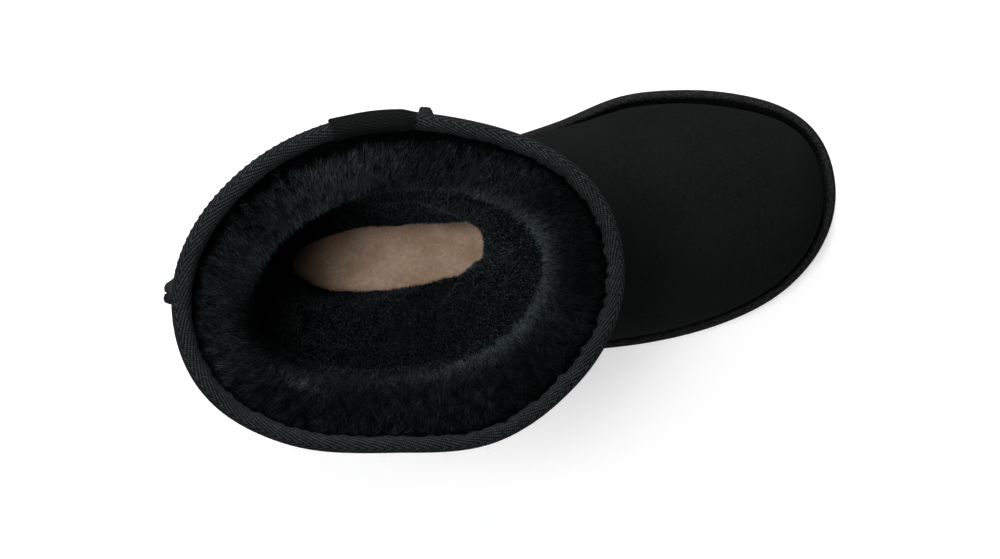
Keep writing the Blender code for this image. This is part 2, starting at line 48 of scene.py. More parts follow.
# Sizes that the whole boot shares.
SOLE_LENGTH = 263.0
SUEDE = 2.0
GAP = 0.3
LASTING_MARGIN = 10.0
INSOLE_THICKNESS = 6.4
INSOLE_CROWN = 2.0
INSOLE_LOW = GAP + SUEDE + GAP
BINDING_TAPE = 1.0
BINDING_OUTER_DROP = 9.0
SKIN_AT_COLLAR = 1.6
COUNTER_THICKNESS = 1.6
WIDEST_ABOVE_BED = 10.0
EDGE_TUCK = 1.8
VAMP_ROUNDNESS = 2.3
SLOPE_STEP = 0.002

# Lower edge of the upper, around the bottom of the last, measured back from its toe.
LAST_EDGE = table(
    "from_toe half_width middle",
    (0, 0.0, 4.5),
    (4, 16.8, 4.4),
    (12, 26.7, 3.1),
    (26, 35.4, 1.4),
    (50, 42.2, 0.4),
    (72, 44.0, -0.3),
    (100, 40.4, -3.2),
    (133, 35.3, -3.2),
    (172, 31.9, -1.4),
    (211, 30.8, -0.6),
    (235, 26.2, -0.4),
    (251, 0.0, -0.4),
)
LAST_TOE_X = 257.0
LAST_HEEL_X = 6.0

# Height of the foot bed, and of the underside of the sole, along the boot.
SOLE_SECTIONS = table(
    "x bed underside",
    (-2, 22.0, 4.0),
    (13, 21.6, 0.0),
    (48, 20.8, 0.0),
    (82, 19.5, 0.0),
    (110, 17.2, 2.4),
    (139, 15.2, 0.0),
    (175, 14.0, 0.0),
    (203, 14.4, 0.0),
    (235, 17.4, 3.6),
    (265, 23.0, 10.0),
)

# Rings of the upper: where each crosses the back line and the front line, how much of it
# belongs to the round shaft rather than to the foot, and the half width of that shaft.
RINGS = table(
    "back_x back_z front_x front_z shaft shaft_half",
    (6.0, 22.0, 257.0, 21.3, 0.0, 40.0),
    (4.9, 27.0, 258.2, 26.3, 0.0, 40.0),
    (4.2, 32.0, 258.8, 31.3, 0.0, 40.0),
    (3.7, 40.5, 256.6, 40.0, 0.0, 40.5),
    (3.9, 50.0, 247.8, 50.3, 0.0, 41.2),
    (4.7, 60.0, 232.5, 58.6, 0.02, 42.4),
    (6.0, 70.5, 213.0, 65.2, 0.08, 43.8),
    (7.5, 81.5, 193.5, 72.2, 0.2, 45.2),
    (9.1, 93.5, 176.0, 81.8, 0.4, 46.5),
    (10.7, 107.0, 162.0, 95.6, 0.65, 47.8),
    (12.2, 121.5, 153.0, 113.0, 0.87, 49.0),
    (13.4, 137.5, 149.6, 133.0, 0.98, 50.3),
    (14.5, 157.0, 151.2, 156.0, 1.0, 51.7),
    (15.3, 182.5, 156.6, 182.5, 1.0, 53.4),
    (16.0, 210.0, 163.7, 210.0, 1.0, 55.2),
)
NOSE_RING = 2
BED_FOLLOWING_ENDS = 7
STEEP_ABOVE_INSTEP = 9.0
FRONT_LINE_RING = 11
FRONT_LINE_POINTS = 300
UPRIGHT_RING = -4
COLLAR_POINTS = 200

# How far the collar stands out or in around its edge, which fades out down the shaft.
COLLAR_SHAPE = table(
    "turn out",
    (0.0, -0.5), (0.08, 0.2), (0.18, -1.2), (0.25, 0.5), (0.31, 0.4), (0.38, -0.8),
    (0.5, -0.5), (0.59, 1.5), (0.65, 0.3), (0.73, -1.8), (0.8, 2.3), (0.87, 1.0),
    (1.0, -0.5),
)
COLLAR_SHAPE_FROM = 0.72

# How far the foot of the upper is drawn in behind the band around the toe, and where it
# swells out over the band at the inner waist. Turns are counted from the toe, both ways.
FOOT = table(
    "turn inward",
    (-0.5, 0.3), (-0.19, 0.3), (-0.11, 1.5), (0.0, 1.6), (0.06, 1.8), (0.12, 1.8),
    (0.15, 1.1), (0.17, 1.1), (0.19, 0.5), (0.203, -0.6), (0.215, -2.0), (0.23, -3.0),
    (0.26, -2.6), (0.33, 0.3), (0.5, 0.3),
)
BEHIND_LEVELS = (0.0, 0.1, 0.15, 0.27)
OVER_LEVELS = (0.1, 0.17, 0.22, 0.4)

# Soft troughs and ridges in the suede: where each is, its reach around and up the boot,
# how far it leans up along its reach, and its height, with a trough below zero.
CREASES = table(
    "turn level reach rise lean height",
    (0.0, 0.665, 0.13, 0.014, 0.0, -0.9),
    (0.02, 0.632, 0.1, 0.013, 0.0, 0.6),
    (0.13, 0.60, 0.06, 0.013, -0.9, -0.8),
    (0.87, 0.60, 0.06, 0.013, 0.9, -0.9),
    (0.16, 0.53, 0.05, 0.014, -1.0, 0.5),
    (0.84, 0.53, 0.05, 0.014, 1.0, 0.5),
    (0.45, 0.60, 0.09, 0.014, 0.3, -0.9),
    (0.56, 0.635, 0.08, 0.013, -0.3, -0.7),
    (0.5, 0.57, 0.07, 0.012, 0.0, 0.5),
    (0.33, 0.66, 0.05, 0.016, 0.5, -0.6),
    (0.67, 0.66, 0.05, 0.016, -0.5, -0.6),
    (0.1, 0.8, 0.05, 0.03, 0.6, -0.5),
    (0.9, 0.78, 0.05, 0.03, -0.6, -0.5),
    (0.6, 0.83, 0.05, 0.03, 0.4, -0.6),
    (0.38, 0.86, 0.05, 0.03, -0.4, -0.6),
)
CREASE_LEAN = 0.5
CREASES_BEGIN = (0.02, 0.12)
CREASES_END = (0.93, 0.97)
UPPER_TURNS = 420
UPPER_LEVELS = 130
INNER_LEVELS = 14

# Side of the sole, from its top edge to its tread edge: share of its height and how far
# it stands outside the lower edge of the upper.
SOLE_SIDE = table(
    "height out",
    (1.0, 5.0), (0.95, 5.9), (0.66, 5.9), (0.62, 5.0), (0.54, 5.0), (0.5, 6.0), (0.12, 5.7),
    (0.0, 4.4),
)
SOLE_SIDE_STATIONS = 30
SOLE_TURNS = 360

# Tread: grooves across the sole, bowed towards the toe, in zones of evenly spaced ones.
GROOVE_WIDTH = 5.0
GROOVE_DEPTH = 2.6
GROOVE_CORNER = 0.8
GROOVE_BOW = 7.0
GROOVE_BOW_ENDS = 3.0
GROOVE_HALF_SPAN = 70.0
GROOVE_STATIONS = 41
CUTTER_FLOOR = -8.0
SHARP_ANGLE = 0.6
GROOVE_ZONES = (
    (20.0, 15.5, 5),
    (146.0, 14.5, 7),
)

# Rand, a rolled band that covers the joint of upper and sole, in section.
RAND_SECTION = table(
    "out above_bed",
    (0.5, 0.4), (5.2, 0.3), (6.1, 2.5), (6.2, 6.0), (5.7, 8.2), (4.6, 9.4), (3.3, 9.5),
    (2.5, 8.8), (2.1, 5.6), (1.1, 2.6),
)
RAND_TURNS = 600
RAND_STATIONS = 28
RAND_UV_ROW = 4
RAND_REPEAT = 1.6
RAND_RIB_ALONG = 0.8
RAND_RIB_ACROSS = 1.1

# Raised seams: name, side of the boot, how far forward each is at the bottom and at the
# top, the level it starts from, width and height. The back seam runs up the heel.
SEAMS = (
    ("medial_seam", 1, 121.0, 106.4, 0.17, 4.2, 4.0),
    ("lateral_seam", -1, 121.0, 106.4, 0.17, 4.2, 2.6),
    ("back_seam", 1, 0.0, 0.0, 0.53, 6.6, 4.4),
)
BACK_SEAM_TURN = 0.477
SEAM_SEAT = 0.5
SEAM_TUCK = 0.4
SEAM_SWEEP = 1.6
SEAM_STATIONS = 170
SEAM_WAVER = 0.05
SEAM_WAVE = 1.9

# Section of a raised seam: shares of its width and of its height.
SEAM_PROFILE = (
    (-0.56, 0.0), (-0.5, 0.55), (-0.42, 0.9), (-0.25, 1.0), (-0.06, 0.93), (0.0, 0.68),
    (0.06, 0.93), (0.25, 1.0), (0.42, 0.9), (0.5, 0.55), (0.56, 0.0),
)

# Stitches, as short threads that arch over what they hold.
STITCH_STATIONS = 5
STITCH_SIDES = 6
STITCH_ARCH = 0.35
STITCH_SUNK = 0.12
STITCH_ENDS = 0.55
STITCH_FILL = 0.72

# Over-and-over stitches across the side seams, and how far each climbs, in levels.
SEAM_PATH_POINTS = 400
SEAM_STITCH_END = 1.0
SEAM_STITCH_PITCH = 2.6
SEAM_STITCH_SEAT = 0.82
SEAM_STITCH_CLIMB = 0.0035
SEAM_STITCH_RADIUS = 0.34
SEAM_STITCH_ARCH = 0.9

# Heel counter: half its reach around the heel in turns, and its upper edge.
COUNTER_REACH = 0.175
COUNTER_LOW_LEVEL = 0.17
COUNTER_SIDE_LEVEL = 0.2
COUNTER_TOP_LEVEL = 0.5
COUNTER_ARCH = 0.8
COUNTER_EDGE = 0.45
COUNTER_SIDE_FADE = 0.008
COUNTER_TURNS = 121
COUNTER_ROWS = 24
COUNTER_STITCH_INSET = 0.006
COUNTER_STITCH_POINTS = 300
COUNTER_STITCH_ROWS = (0.018, 0.034)
COUNTER_STITCH_LIFT = 0.01
COUNTER_STITCH_PITCH = 3.0
COUNTER_STITCH_RADIUS = 0.3

# Collar tape: its section and the thickness of its cloth.
TAPE_TURNS = 760
TAPE_STATIONS = 26
TAPE_MIDDLE = -2.0
TAPE_BACK = 5.2
TAPE_DROP = 8.0
TAPE_SHEET = 0.5

# Its herringbone: how wide a column is, how far a rib leans across it, the pitch of ribs
# and yarns, how far a yarn slants, and where the spine lies from the crest.
TAPE_COLUMN = 6.6
TAPE_LEAN = 2.6
TAPE_RIB = 3.0
TAPE_YARN = 0.74
TAPE_YARN_SLANT = 0.4
TAPE_SPINE = 1.2

# Its row of stitches, near the outer edge.
TAPE_STITCH_POINTS = 1200
TAPE_STITCH_INSET = 1.6
TAPE_STITCH_PROUD = 0.1
TAPE_STITCH_PITCH = 2.8
TAPE_STITCH_RADIUS = 0.22

# The inner side of the tape around the collar: its face, in from the outside of the
# suede, and how far below the collar its edge lies.
TAPE_INSIDE = table(
    "turn face drop",
    (0.0, 4.9, 3.0),
    (0.12, 4.7, 3.6),
    (0.25, 4.5, 4.5),
    (0.38, 5.0, 6.5),
    (0.5, 5.2, 7.5),
    (0.62, 4.8, 5.0),
    (0.75, 4.3, 2.8),
    (0.88, 4.6, 2.6),
    (1.0, 4.9, 3.0),
)

# Where the inner edge of the tape is puckered, and by how much.
PUCKERS = table(
    "turn reach size",
    (0.0, 0.12, 0.75),
    (0.88, 0.1, 0.9),
    (0.72, 0.08, 0.5),
    (0.6, 0.06, 0.6),
    (0.14, 0.07, 0.45),
    (0.5, 0.06, 0.25),
    (0.36, 0.06, 0.2),
)
PUCKER_WAVES = (61, 97, 29)

# The overlapped ends of the collar tape, in turns.
JOIN_FROM = 0.218
JOIN_TO = 0.279
JOIN_STATIONS = 60
JOIN_LAYER = 0.6
JOIN_SHEET = 0.9
JOIN_CREST = -2.5
JOIN_SUNK = 0.75
JOIN_SUNK_TURNS = 0.012
JOIN_SWELL = 0.25
JOIN_SWELL_TURNS = 0.006

# Wool pile, from the insole to the collar: its depth at the front, sides and back.
FLEECE = table(
    "level front side back",
    (0.14, 9.0, 16.5, 37.0),
    (0.36, 9.5, 16.5, 36.0),
    (0.5, 24.0, 16.5, 31.5),
    (0.64, 33.0, 17.5, 26.0),
    (0.76, 29.0, 17.5, 21.5),
    (0.84, 18.5, 17.5, 18.5),
    (0.885, 10.5, 18.5, 19.0),
    (0.915, 9.6, 17.2, 17.5),
    (0.945, 7.0, 13.0, 13.0),
    (0.963, 4.0, 7.0, 7.0),
    (0.974, SKIN_AT_COLLAR, SKIN_AT_COLLAR, SKIN_AT_COLLAR),
    (1.0, SKIN_AT_COLLAR, SKIN_AT_COLLAR, SKIN_AT_COLLAR),
)
PILE_SIDE_POWER = 3.0
PILE_LOW_LEVEL = 0.158
HEEL_SHARE_RISE = 2.0
HEEL_PINCH = 1.25
HEEL_MOST = 0.8
HEEL_MIDDLE = -0.5
HEEL_FADE_TOP = 0.8
HEEL_FADE = 0.3

# Where the pile is fuller or thinner than that around the boot, below its lip.
FULLNESS = table(
    "turn extra",
    (0.0, 1.0), (0.05, -0.5), (0.1, -2.0), (0.15, 0.8), (0.2, 2.4), (0.25, 3.6),
    (0.28, -1.2), (0.32, -4.6), (0.36, -3.2), (0.4, -1.6), (0.46, -0.5), (0.5, 1.0),
    (0.56, 3.8), (0.6, 3.5), (0.64, 1.2), (0.68, 0.2), (0.7, 0.6), (0.72, 3.2),
    (0.74, 10.4), (0.76, 10.4), (0.8, 8.8), (0.84, 10.0), (0.87, 9.6), (0.9, 7.0),
    (0.93, 5.4), (0.96, 3.8), (1.0, 1.0),
)
FULL_FADE_FROM = 0.74
FULL_FADE_TO = 0.85

# Level of the lip of the pile around the boot, where its long wool ends.
LIP = table(
    "turn level",
    (0.0, 0.895), (0.12, 0.88), (0.22, 0.9), (0.32, 0.898), (0.44, 0.898), (0.5, 0.912),
    (0.6, 0.915), (0.72, 0.915), (0.84, 0.902), (0.92, 0.889), (1.0, 0.895),
)

# The body of the pile: how far it lies behind the pile's face and where that changes, its
# lumps, and the swelling of the long wool over the heel and the inner side.
WOOL_TURNS = 300
WOOL_LEVELS = 120
BODY_BACK_LEVELS = 16
BODY_SEED = 3
BODY_SINK = 3.0
SINK_DEEPENS = (0.78, 0.86)
SINK_ENDS = (0.975, 0.995)
BODY_LUMPS = 0.8
LUMPS_END = (0.93, 0.96)
BULGE = 2.2
BULGE_TURN = 0.38
BULGE_REACH = 0.17
BULGE_LEVELS = (0.85, 0.89)
SWELL_ENDS = (0.95, 0.975)

# Fields of waves: how many waves, how often they go around, and how steeply up.
FLUFF = {"count": 10, "around": (6, 34), "up": 60.0}
WISPS = {"seed": 77, "count": 14, "around": (25, 95), "up": 420.0}
CLUMPS = {"seed": 99, "count": 14, "around": (90, 240), "up": 520.0}

# Which way the long wool is combed around the boot: its drift around for each step
# towards the foot, how tousled it is, and how far up its tips reach.
COMB = table(
    "turn sweep tousled top",
    (0.0, 0.0, 0.5, 0.978),
    (0.08, -0.2, 0.8, 0.975),
    (0.15, -0.4, 0.6, 0.974),
    (0.21, 0.5, 0.4, 0.972),
    (0.27, 0.6, 0.2, 0.971),
    (0.33, -0.1, 0.3, 0.972),
    (0.42, 0.4, 0.45, 0.974),
    (0.52, 0.9, 0.5, 0.977),
    (0.59, 0.6, 0.9, 0.98),
    (0.66, 0.3, 1.2, 0.982),
    (0.74, -0.2, 1.5, 0.98),
    (0.82, -0.2, 1.1, 0.978),
    (0.92, 0.0, 0.9, 0.978),
    (1.0, 0.0, 0.5, 0.978),
)

# How light the wool is painted around the boot, as painted light and shade: at the lip of the
# pile, a third and two thirds of the way up from it, by the tape, and on the wall below the lip.
PAINTED_WOOL_LIGHT = table(
    "turn lip low high tape wall",
    (0.0, 0.6, 0.26, 0.055, 0.02, 0.8),
    (0.04, 0.7, 0.5, 0.16, 0.06, 0.7),
    (0.08, 0.5, 0.28, 0.09, 0.06, 0.7),
    (0.12, 0.52, 0.36, 0.2, 0.16, 0.7),
    (0.16, 0.42, 0.22, 0.16, 0.16, 0.7),
    (0.2, 0.24, 0.18, 0.12, 0.13, 0.7),
    (0.24, 0.13, 0.12, 0.18, 0.22, 0.6),
    (0.28, 0.16, 0.23, 0.28, 0.32, 0.3),
    (0.32, 0.42, 0.37, 0.15, 0.26, 0.2),
    (0.36, 0.22, 0.27, 0.2, 0.16, 0.1),
    (0.4, 0.2, 0.28, 0.24, 0.18, 0.06),
    (0.44, 0.11, 0.16, 0.18, 0.15, 0.06),
    (0.48, 0.012, 0.05, 0.1, 0.17, 0.05),
    (0.52, 0.002, 0.01, 0.045, 0.13, 0.05),
    (0.56, 0.003, 0.006, 0.08, 0.14, 0.06),
    (0.6, 0.003, 0.006, 0.06, 0.045, 0.15),
    (0.64, 0.018, 0.065, 0.2, 0.035, 0.4),
    (0.68, 0.11, 0.09, 0.05, 0.03, 0.55),
    (0.72, 0.11, 0.055, 0.05, 0.035, 0.5),
    (0.76, 0.09, 0.07, 0.05, 0.045, 0.45),
    (0.8, 0.25, 0.12, 0.055, 0.045, 0.4),
    (0.84, 0.3, 0.14, 0.04, 0.02, 0.55),
    (0.88, 0.38, 0.24, 0.05, 0.025, 0.65),
    (0.92, 0.53, 0.17, 0.08, 0.045, 0.7),
    (0.96, 0.63, 0.2, 0.045, 0.02, 0.75),
    (1.0, 0.6, 0.26, 0.055, 0.02, 0.8),
)

# Long wool, from the lip of the pile up under the tape: lengths, widths and depths in
# millimetres, and where more of it is combed out long.
LONG_COUNT = 160000
LONG_LENGTH = (3.5, 5.5)
SHORT_LENGTH = (1.8, 3.4)
LONG_SHARE = 0.3
COMBED_TURN = 0.28
COMBED_REACH = 0.04
COMBED_MORE = 0.5
LOCK_SEED = 11
LOCK_LOW = 0.003
LOCK_RISE = 0.002
LONG_SUNK = 1.4
LOCK_LIFT = 0.35
WISP_LIFT = 0.45
WISP_SWEEP = 1.4
LONG_FLAT = (0.5, 1.7)
LONG_STRAY = 0.4
LONG_WIDTH = (0.3, 0.5)
TAPE_LEVEL = 0.957
LONG_CONTRAST = 1.4
LONG_LIGHT = 2.1
STREAK_LEAST = 0.2
STREAK_TOUSLED = 0.45
STREAK_LIMITS = (0.12, 3.2)
TUFT_STEP = 0.008

# The pieces of long wool: name, seed, and the turns where each begins and ends.
LONG_WOOL = (("long_wool_heel", 5, 0.24, 0.74), ("long_wool_toe", 6, -0.26, 0.24))

# How strongly the lip of the pile stands up as a ridge around the boot, and how light its tips
# are painted there as a painted highlight.
RIDGE = table(
    "turn strength",
    (-0.42, 0.0), (-0.36, 0.12), (-0.28, 0.2), (-0.22, 0.4), (-0.16, 0.6), (-0.08, 0.75),
    (0.0, 0.6), (0.06, 0.75), (0.1, 0.5), (0.15, 0.3), (0.19, 0.0),
)
RIDGE_COUNT = 60000
RIDGE_SEED = 31
RIDGE_ABOVE_LIP = (0.009, 0.0045)
RIDGE_LEAST_KEPT = 0.2
RIDGE_LEAST_LIGHT = 0.1
RIDGE_WOOL = {
    "sunk": 1.0,
    "flat": (-0.9, 0.2),
    "stray": 0.4,
    "length": (1.6, 3.4),
    "width": (0.3, 0.45),
    "dimmest": 0.0,
    "contrast": 1.5,
    "light": 1.2,
}

# Short curls on the walls below the lip, more crowded towards it.
CURL_COUNT = 150000
CURL_SEED = 21
CURL_CROWDING = 0.75
CURL_WOOL = {
    "sunk": 1.4,
    "flat": (-1.2, 0.4),
    "stray": 0.6,
    "length": (1.2, 2.0),
    "width": (0.24, 0.42),
    "dimmest": 0.1,
    "contrast": 1.8,
    "light": 1.6,
}

# Insole, and the nap that stands on it.
INSOLE_TURNS = 240
NAP_COUNT = 60000
NAP_SEED = 41
NAP_SPINE = (45.0, 215.0)
NAP_INSET = 14.0
NAP_CROWN_REACH = 20.0
NAP_SUNK = 0.4
NAP_STRAY = 0.6
NAP_LENGTH = (0.7, 1.5)
NAP_WIDTH = (0.35, 0.6)
NAP_TONES = (0.25, 1.0)

# Colours: tints, the near-black greys between which each material varies, and the natural
# wool. Heights and places along the boot where a colour changes are in the frame's metres.
NO_TINT = (1.0, 1.0, 1.0)
COOL_TINT = (0.86, 1.03, 1.06)
ROOT_TINT = (0.6, 1.03, 1.1)
WOOL_TINT = (0.78, 1.02, 1.1)
TIP_TINT = (0.86, 1.02, 1.08)
SUEDE_TINT = (0.88, 1.02, 1.02)
SUEDE_GREYS = (0.0029, 0.0046, 0.0069)
EDGE_GREYS = (0.006, 0.03)
THREAD_GREYS = (0.005, 0.014)
FOAM_GREYS = (0.012, 0.02)
TAPE_GREYS = (0.0006, 0.058)
OVERLAP_GREYS = (0.001, 0.0095)
# The pile's body is painted in shaded and lit greys, painted light and shade.
BODY_SHADED_GREYS = (0.0005, 0.011)
BODY_LIT_GREYS = (0.006, 0.034)
BLACK_WOOL_GREYS = (0.0006, 0.2)
# The lip wool's lighter tips are a painted highlight along the ridge.
LIP_WOOL_GREYS = (0.0012, 0.24)
RAND_DARK = (0.00192, 0.002, 0.002, 1.0)
RAND_LIGHT = (0.02016, 0.021, 0.02121, 1.0)
CREAM = (0.84, 0.61, 0.455, 1.0)
TAN = (0.58, 0.4, 0.27, 1.0)
NAP_SHADE = (0.4, 0.26, 0.165, 1.0)
HEEL_SHADE_BROWN = (0.2, 0.14, 0.085, 1.0)
NAP_ROOT = (0.2, 0.13, 0.085, 1.0)
NAP_TIP = (0.8, 0.62, 0.48, 1.0)
WHITE = (1.0, 1.0, 1.0, 1.0)
# Painted light on the pile's body fades out above these heights and behind these places.
BODY_LIP_Z = (0.165, 0.178)
BODY_AHEAD_X = (-0.085, -0.04)
# Painted shade on the insole deepens behind these places, towards the heel.
HEEL_SHADE_X = (-0.095, -0.044)

# Stage, in metres. Each paper has the two greys that its pulp varies between and its glow.
FLOOR_REACH = 8.0
WALL_HEIGHT = 1.3
WALL_SIDES = 64
FLOOR_PAPER = (0.8, 0.82, 0.42)
WALL_PAPER = (0.5, 0.52, 0.6)

# Light: its strength from all around, and soft boxes with their name, place, target, size
# and power.
DAYLIGHT = 0.14
SOFT_BOXES = (
    ("key", (-0.31, 0.17, 2.0), (0.0, 0.0, 0.05), 0.35, 17.0),
    ("side", (-0.28, 1.9, 0.95), (0.0, 0.0, 0.05), 1.2, 62.0),
    ("fill", (1.0, -0.35, 1.0), (0.0, 0.0, 0.05), 0.9, 4.0),
    ("outer_side", (-0.7, -2.2, 0.55), (0.0, 0.0, 0.08), 1.2, 17.0),
)

# Camera: its place and the directions of its right, its foot and its view.
CAMERA_AT = (-0.0149, 0.0527, 1.0)
CAMERA_RIGHT = (0.98878, -0.14827, 0.01832)
CAMERA_DOWN = (-0.14918, -0.98646, 0.06809)
CAMERA_AHEAD = (0.00798, -0.07006, -0.99751)
CAMERA_LENS = 87.4
SENSOR = 36.0
NEAR_CLIP = 0.05


# The forms of the boot.


def rows_of(named):
    """The rows of a table as one array."""
    return np.column_stack(list(named.values()))


def smooth(knots, values, at):
    """A smooth curve through the values at the knots, read at the given places."""
    at = np.asarray(at, dtype=float)
    slopes = np.gradient(values, knots, edge_order=2)
    first = np.clip(np.searchsorted(knots, at) - 1, 0, len(knots) - 2)
    span = knots[first + 1] - knots[first]
    t = np.clip((at - knots[first]) / span, 0.0, 1.0)
    rise = values[first + 1] - values[first]
    start = slopes[first] * span
    end = slopes[first + 1] * span
    return values[first] + t * (start + t * (3 * rise - 2 * start - end + t * (start + end - 2 * rise)))


def soft_step(value, low, high):
    """A smooth rise from 0 at low to 1 at high."""
    t = np.clip((np.asarray(value, float) - low) / (high - low), 0.0, 1.0)
    return t * t * (3.0 - 2.0 * t)


def bump_at(value, middle, width):
    """A smooth bell of height 1."""
    return np.exp(-(((value - middle) / width) ** 2))


def turn_gap(turn, middle):
    """How far a turn is from another, the short way around."""
    return (np.asarray(turn, float) - middle + 0.5) % 1.0 - 0.5


def angle_of(share):
    """The angle whose cosine spreads a share of a length: pi at 0 and zero at 1."""
    return np.arccos(np.clip(2.0 * share - 1.0, -1.0, 1.0))


LAST_ANGLES = angle_of(1.0 - LAST_EDGE["from_toe"] / (LAST_TOE_X - LAST_HEEL_X))
RING_LEVELS = np.linspace(0.0, 1.0, len(RINGS["back_x"]))
NOSE_LEVEL = RING_LEVELS[NOSE_RING]
NOSE_X = RINGS["front_x"][NOSE_RING]
COLLAR_Z = RINGS["front_z"][-1]


def bed(x):
    """Height of the foot bed, the top of the sole."""
    return smooth(SOLE_SECTIONS["x"], SOLE_SECTIONS["bed"], x)


def underside(x):
    """Height of the underside of the sole: flat under the heel and the ball of the foot."""
    return np.interp(x, SOLE_SECTIONS["x"], SOLE_SECTIONS["underside"])


def ring_value(name, level):
    """A ring column at any level."""
    return smooth(RING_LEVELS, RINGS[name], level)


def front_line():
    """The front line of the boot over the toe, as x and height, with x rising."""
    levels = np.linspace(NOSE_LEVEL, RING_LEVELS[FRONT_LINE_RING], FRONT_LINE_POINTS)
    x = ring_value("front_x", levels)
    z = ring_value("front_z", levels)
    return x[::-1], z[::-1]


FRONT_X, FRONT_Z = front_line()


def vamp_top(x):
    """Height of the front line over a place along the foot, open behind the instep."""
    behind = np.clip(FRONT_X[0] - x, 0.0, None)
    return np.interp(x, FRONT_X, FRONT_Z) + STEEP_ABOVE_INSTEP * behind


def foot_half_width(share, x, z):
    """Half width of the foot part of the upper at a height over the bed."""
    half = smooth(LAST_ANGLES, LAST_EDGE["half_width"], angle_of(share))
    widest = bed(x) + WIDEST_ABOVE_BED
    room = np.maximum(vamp_top(x) - widest, 0.5)
    up = np.clip((z - widest) / room, 0.0, 1.0)
    dome = (1.0 - up**VAMP_ROUNDNESS) ** (1.0 / VAMP_ROUNDNESS)
    down = np.clip((widest - z) / WIDEST_ABOVE_BED, 0.0, 1.0)
    full = half * (1.0 + EDGE_TUCK / LAST_EDGE["half_width"].max())
    return (full - (full - half) * down**2) * dome


def upper_point(turn, level):
    """A point on the outside of the upper."""
    turn, level = np.broadcast_arrays(np.asarray(turn, float), np.asarray(level, float))
    around = 2.0 * np.pi * turn
    share = (1.0 + np.cos(around)) / 2.0
    side = np.where(np.sin(around) >= 0.0, 1.0, -1.0)
    back_x = ring_value("back_x", level)
    front_x = ring_value("front_x", level)
    x = back_x + (front_x - back_x) * share
    back_z = ring_value("back_z", level)
    front_z = ring_value("front_z", level)
    straight_bed = bed(back_x) + (bed(front_x) - bed(back_x)) * share
    follow = 1.0 - soft_step(level, 0.0, RING_LEVELS[BED_FOLLOWING_ENDS])
    z = back_z + (front_z - back_z) * share + (bed(x) - straight_bed) * follow
    toe_end = np.where(level <= NOSE_LEVEL, front_x, NOSE_X)
    along_last = (x - back_x) / (toe_end - back_x)
    shaft = ring_value("shaft", level)
    foot_half = foot_half_width(along_last, x, z)
    shaft_half = ring_value("shaft_half", level) * np.abs(np.sin(around))
    middle = smooth(LAST_ANGLES, LAST_EDGE["middle"], angle_of(along_last)) * (1.0 - shaft)
    y = middle + side * (foot_half * (1.0 - shaft) + shaft_half * shaft)
    push = smooth(COLLAR_SHAPE["turn"], COLLAR_SHAPE["out"], turn % 1.0)
    push = push * np.clip((level - COLLAR_SHAPE_FROM) / (1.0 - COLLAR_SHAPE_FROM), 0.0, 1.0) ** 2
    return np.stack([x + push * np.cos(around), y + push * np.sin(around), z], axis=-1)


def turn_at(x, level):
    """The turn on the inner side where a ring has reached a place along the boot."""
    back_x = ring_value("back_x", level)
    front_x = ring_value("front_x", level)
    return angle_of((x - back_x) / (front_x - back_x)) / (2.0 * np.pi)


def direction_around(turn, level):
    """A short way around the upper from a place on it."""
    turn = np.asarray(turn, float)
    return upper_point(turn + SLOPE_STEP, level) - upper_point(turn - SLOPE_STEP, level)


def unit(vectors):
    """Vectors made one long."""
    return vectors / np.maximum(np.linalg.norm(vectors, axis=-1, keepdims=True), 1e-9)


def upper_normal(turn, level):
    """The outward normal of the upper."""
    low = np.clip(np.asarray(level, float) - SLOPE_STEP, 0.0, 1.0)
    high = np.clip(np.asarray(level, float) + SLOPE_STEP, 0.0, 1.0)
    up = upper_point(turn, high) - upper_point(turn, low)
    return unit(np.cross(direction_around(turn, level), up))


def set_in(turn, level):
    """How far the foot of the upper is drawn in behind the band, or out over it if negative."""
    inward = np.interp(turn_gap(turn, 0.0), FOOT["turn"], FOOT["inward"])
    behind = soft_step(level, *BEHIND_LEVELS[:2]) * (1.0 - soft_step(level, *BEHIND_LEVELS[2:]))
    over = soft_step(level, *OVER_LEVELS[:2]) * (1.0 - soft_step(level, *OVER_LEVELS[2:]))
    return np.where(inward > 0.0, inward * behind, inward * over)


def upper_offset(turn, level, out):
    """A point at a distance outside the upper, or inside it where that is negative."""
    out = (np.asarray(out, float) - set_in(turn, level))[..., None]
    return upper_point(turn, level) + upper_normal(turn, level) * out


def last_edge(turn, out, above_bed):
    """A point by the lower edge of the upper, moved out level and up from the bed."""
    point = upper_point(turn, 0.0)
    along = direction_around(turn, 0.0)
    outward = unit(np.stack([along[..., 1], -along[..., 0]], axis=-1))
    plan = point[..., :2] + outward * out
    z = bed(plan[..., 0]) + above_bed
    return np.concatenate([plan, z[..., None]], axis=-1)


def level_under_collar(drop):
    """The level of the ring that lies a distance below the collar."""
    levels = np.linspace(RING_LEVELS[UPRIGHT_RING], 1.0, COLLAR_POINTS)
    return np.interp(COLLAR_Z - np.asarray(drop, float), ring_value("front_z", levels), levels)


